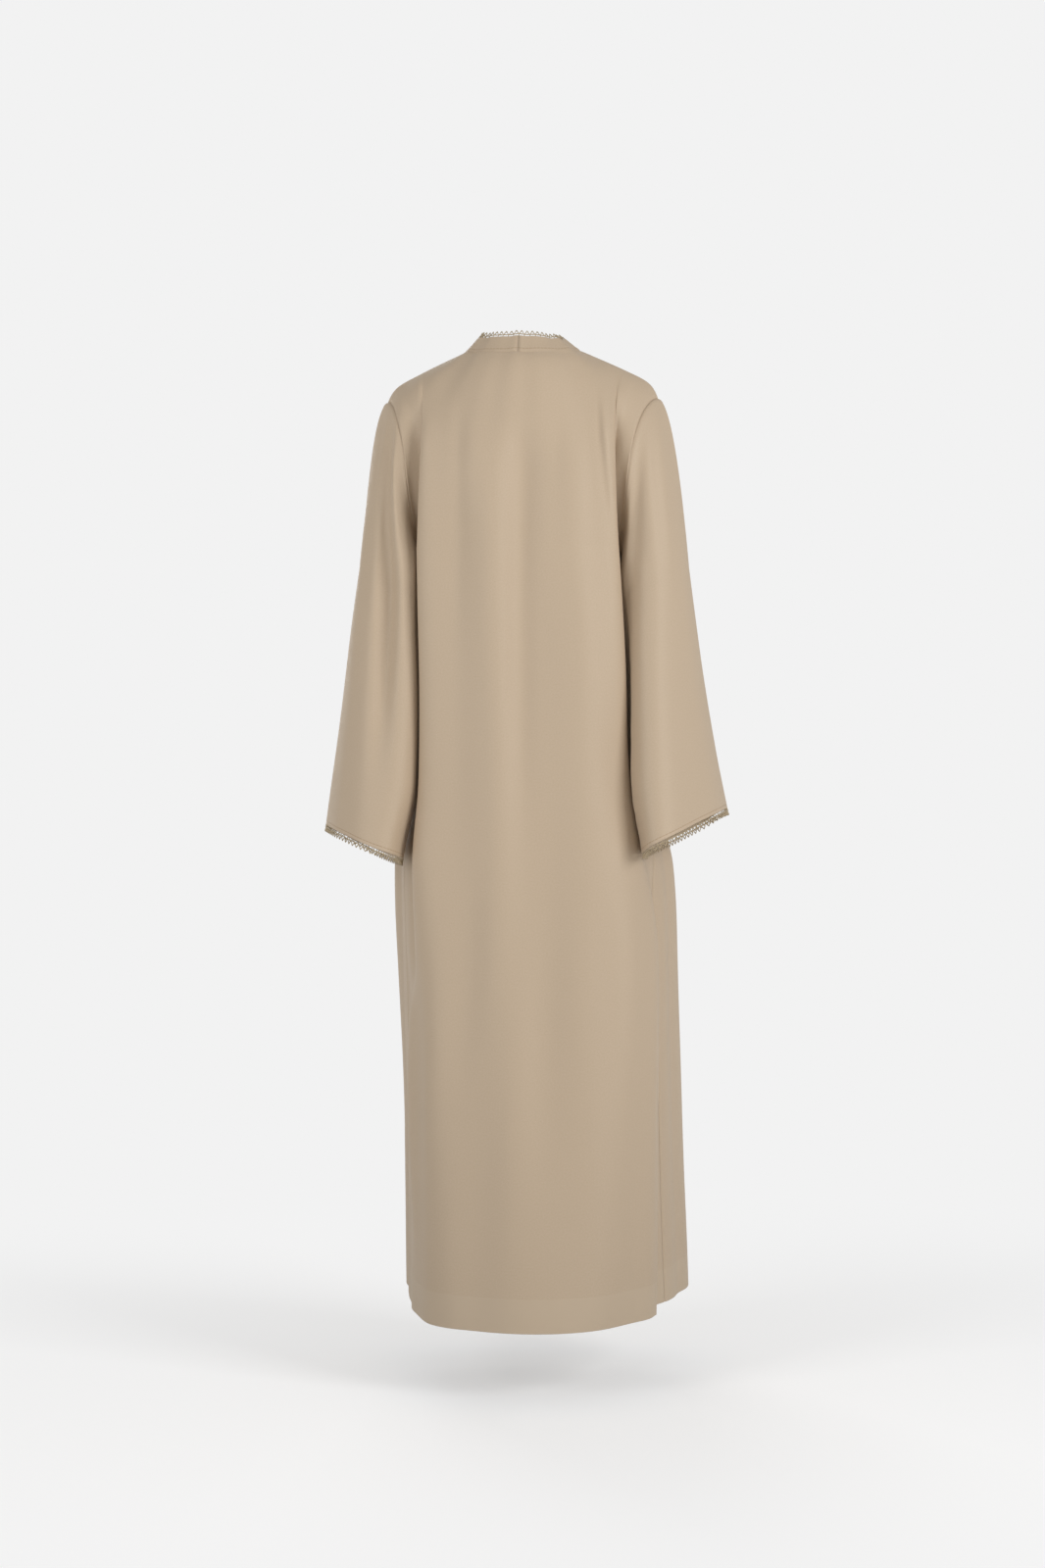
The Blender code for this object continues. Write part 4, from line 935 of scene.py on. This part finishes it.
place = addNode(tree, "ShaderNodeTexCoord").outputs["Object"]
ends = {0: place, 1: (0.0, 0.0, studio["floor"])}
distance = addNode(tree, "ShaderNodeVectorMath", ends, operation="DISTANCE").outputs["Value"]
far = {"Value": distance, "From Min": studio["fadeFrom"], "From Max": studio["fadeTo"]}
far = addNode(tree, "ShaderNodeMapRange", far, interpolation_type="SMOOTHSTEP").outputs["Result"]
glow = addNode(tree, "ShaderNodeEmission", {"Color": hexColour(studio["tone"]), "Strength": 1.0}).outputs[0]
mixed = addNode(tree, "ShaderNodeMixShader", {0: far, 1: shader.outputs[0], 2: glow}).outputs[0]
tree.links.new(mixed, tree.nodes["Material Output"].inputs["Surface"])
floorMesh.materials.append(floorPaint)

# The backdrop reads as the photo's pale grey, while the light it throws on the cloth is softer than that
world = bpy.data.worlds.new("studioWorld")
world.use_nodes = True
tree = world.node_tree
seen = tree.nodes["Background"]
tone = hexColour(studio["tone"])
seen.inputs["Color"].default_value = tone
thrown = addNode(tree, "ShaderNodeBackground", {"Color": tone, "Strength": studio["ambient"]})
directly = addNode(tree, "ShaderNodeLightPath").outputs["Is Camera Ray"]
either = {0: directly, 1: thrown.outputs[0], 2: seen.outputs[0]}
both = addNode(tree, "ShaderNodeMixShader", either).outputs[0]
tree.links.new(both, tree.nodes["World Output"].inputs["Surface"])
bpy.context.scene.world = world


# Square soft boxes that look at the middle of the cloak: the key from the right of the picture, the fill
# from its left, and one behind the cloak for its front; place and size in metres, power in watts
softBoxAim = Vector((0.0, 0.0, -0.65))
softBoxes = {
    "keyLight": {"place": (-3.3, 2.3, 0.8), "size": 1.8, "power": 94.0},
    "fillLight": {"place": (2.7, 3.2, 0.8), "size": 1.8, "power": 56.0},
    "frontLight": {"place": (1.2, -3.6, 0.6), "size": 2.4, "power": 50.0},
}
for name, box in softBoxes.items():
    light = bpy.data.lights.new(name, "AREA")
    light.size, light.energy = box["size"], box["power"]
    lamp = bpy.data.objects.new(name, light)
    lamp.location = box["place"]
    lamp.rotation_euler = (softBoxAim - Vector(box["place"])).to_track_quat("-Z", "Y").to_euler()
    bpy.context.scene.collection.objects.link(lamp)

# Level camera at the photo's angle, 4.2 m from the cloak's middle. The focal length is 2857 px where the
# long side has 1600 px and the sensor 36 mm
view = {"turn": 6.0, "distance": 4.2, "height": -0.647, "sensor": 36.0, "focal": 36.0 * 2857.0 / 1600.0}
camera = bpy.data.objects.new("camera", bpy.data.cameras.new("camera"))
camera.data.sensor_fit = "AUTO"
camera.data.sensor_width = view["sensor"]
camera.data.lens = view["focal"]
angle = math.radians(view["turn"])
camera.location = (-math.sin(angle) * view["distance"], math.cos(angle) * view["distance"], view["height"])
aim = Vector((0.0, 0.0, view["height"])) - camera.location
camera.rotation_euler = aim.to_track_quat("-Z", "Y").to_euler()
camera.data.clip_start, camera.data.clip_end = 0.1, 100.0
camera.data.dof.use_dof = False
bpy.context.scene.collection.objects.link(camera)
bpy.context.scene.camera = camera
bpy.context.scene.view_settings.view_transform = "Standard"
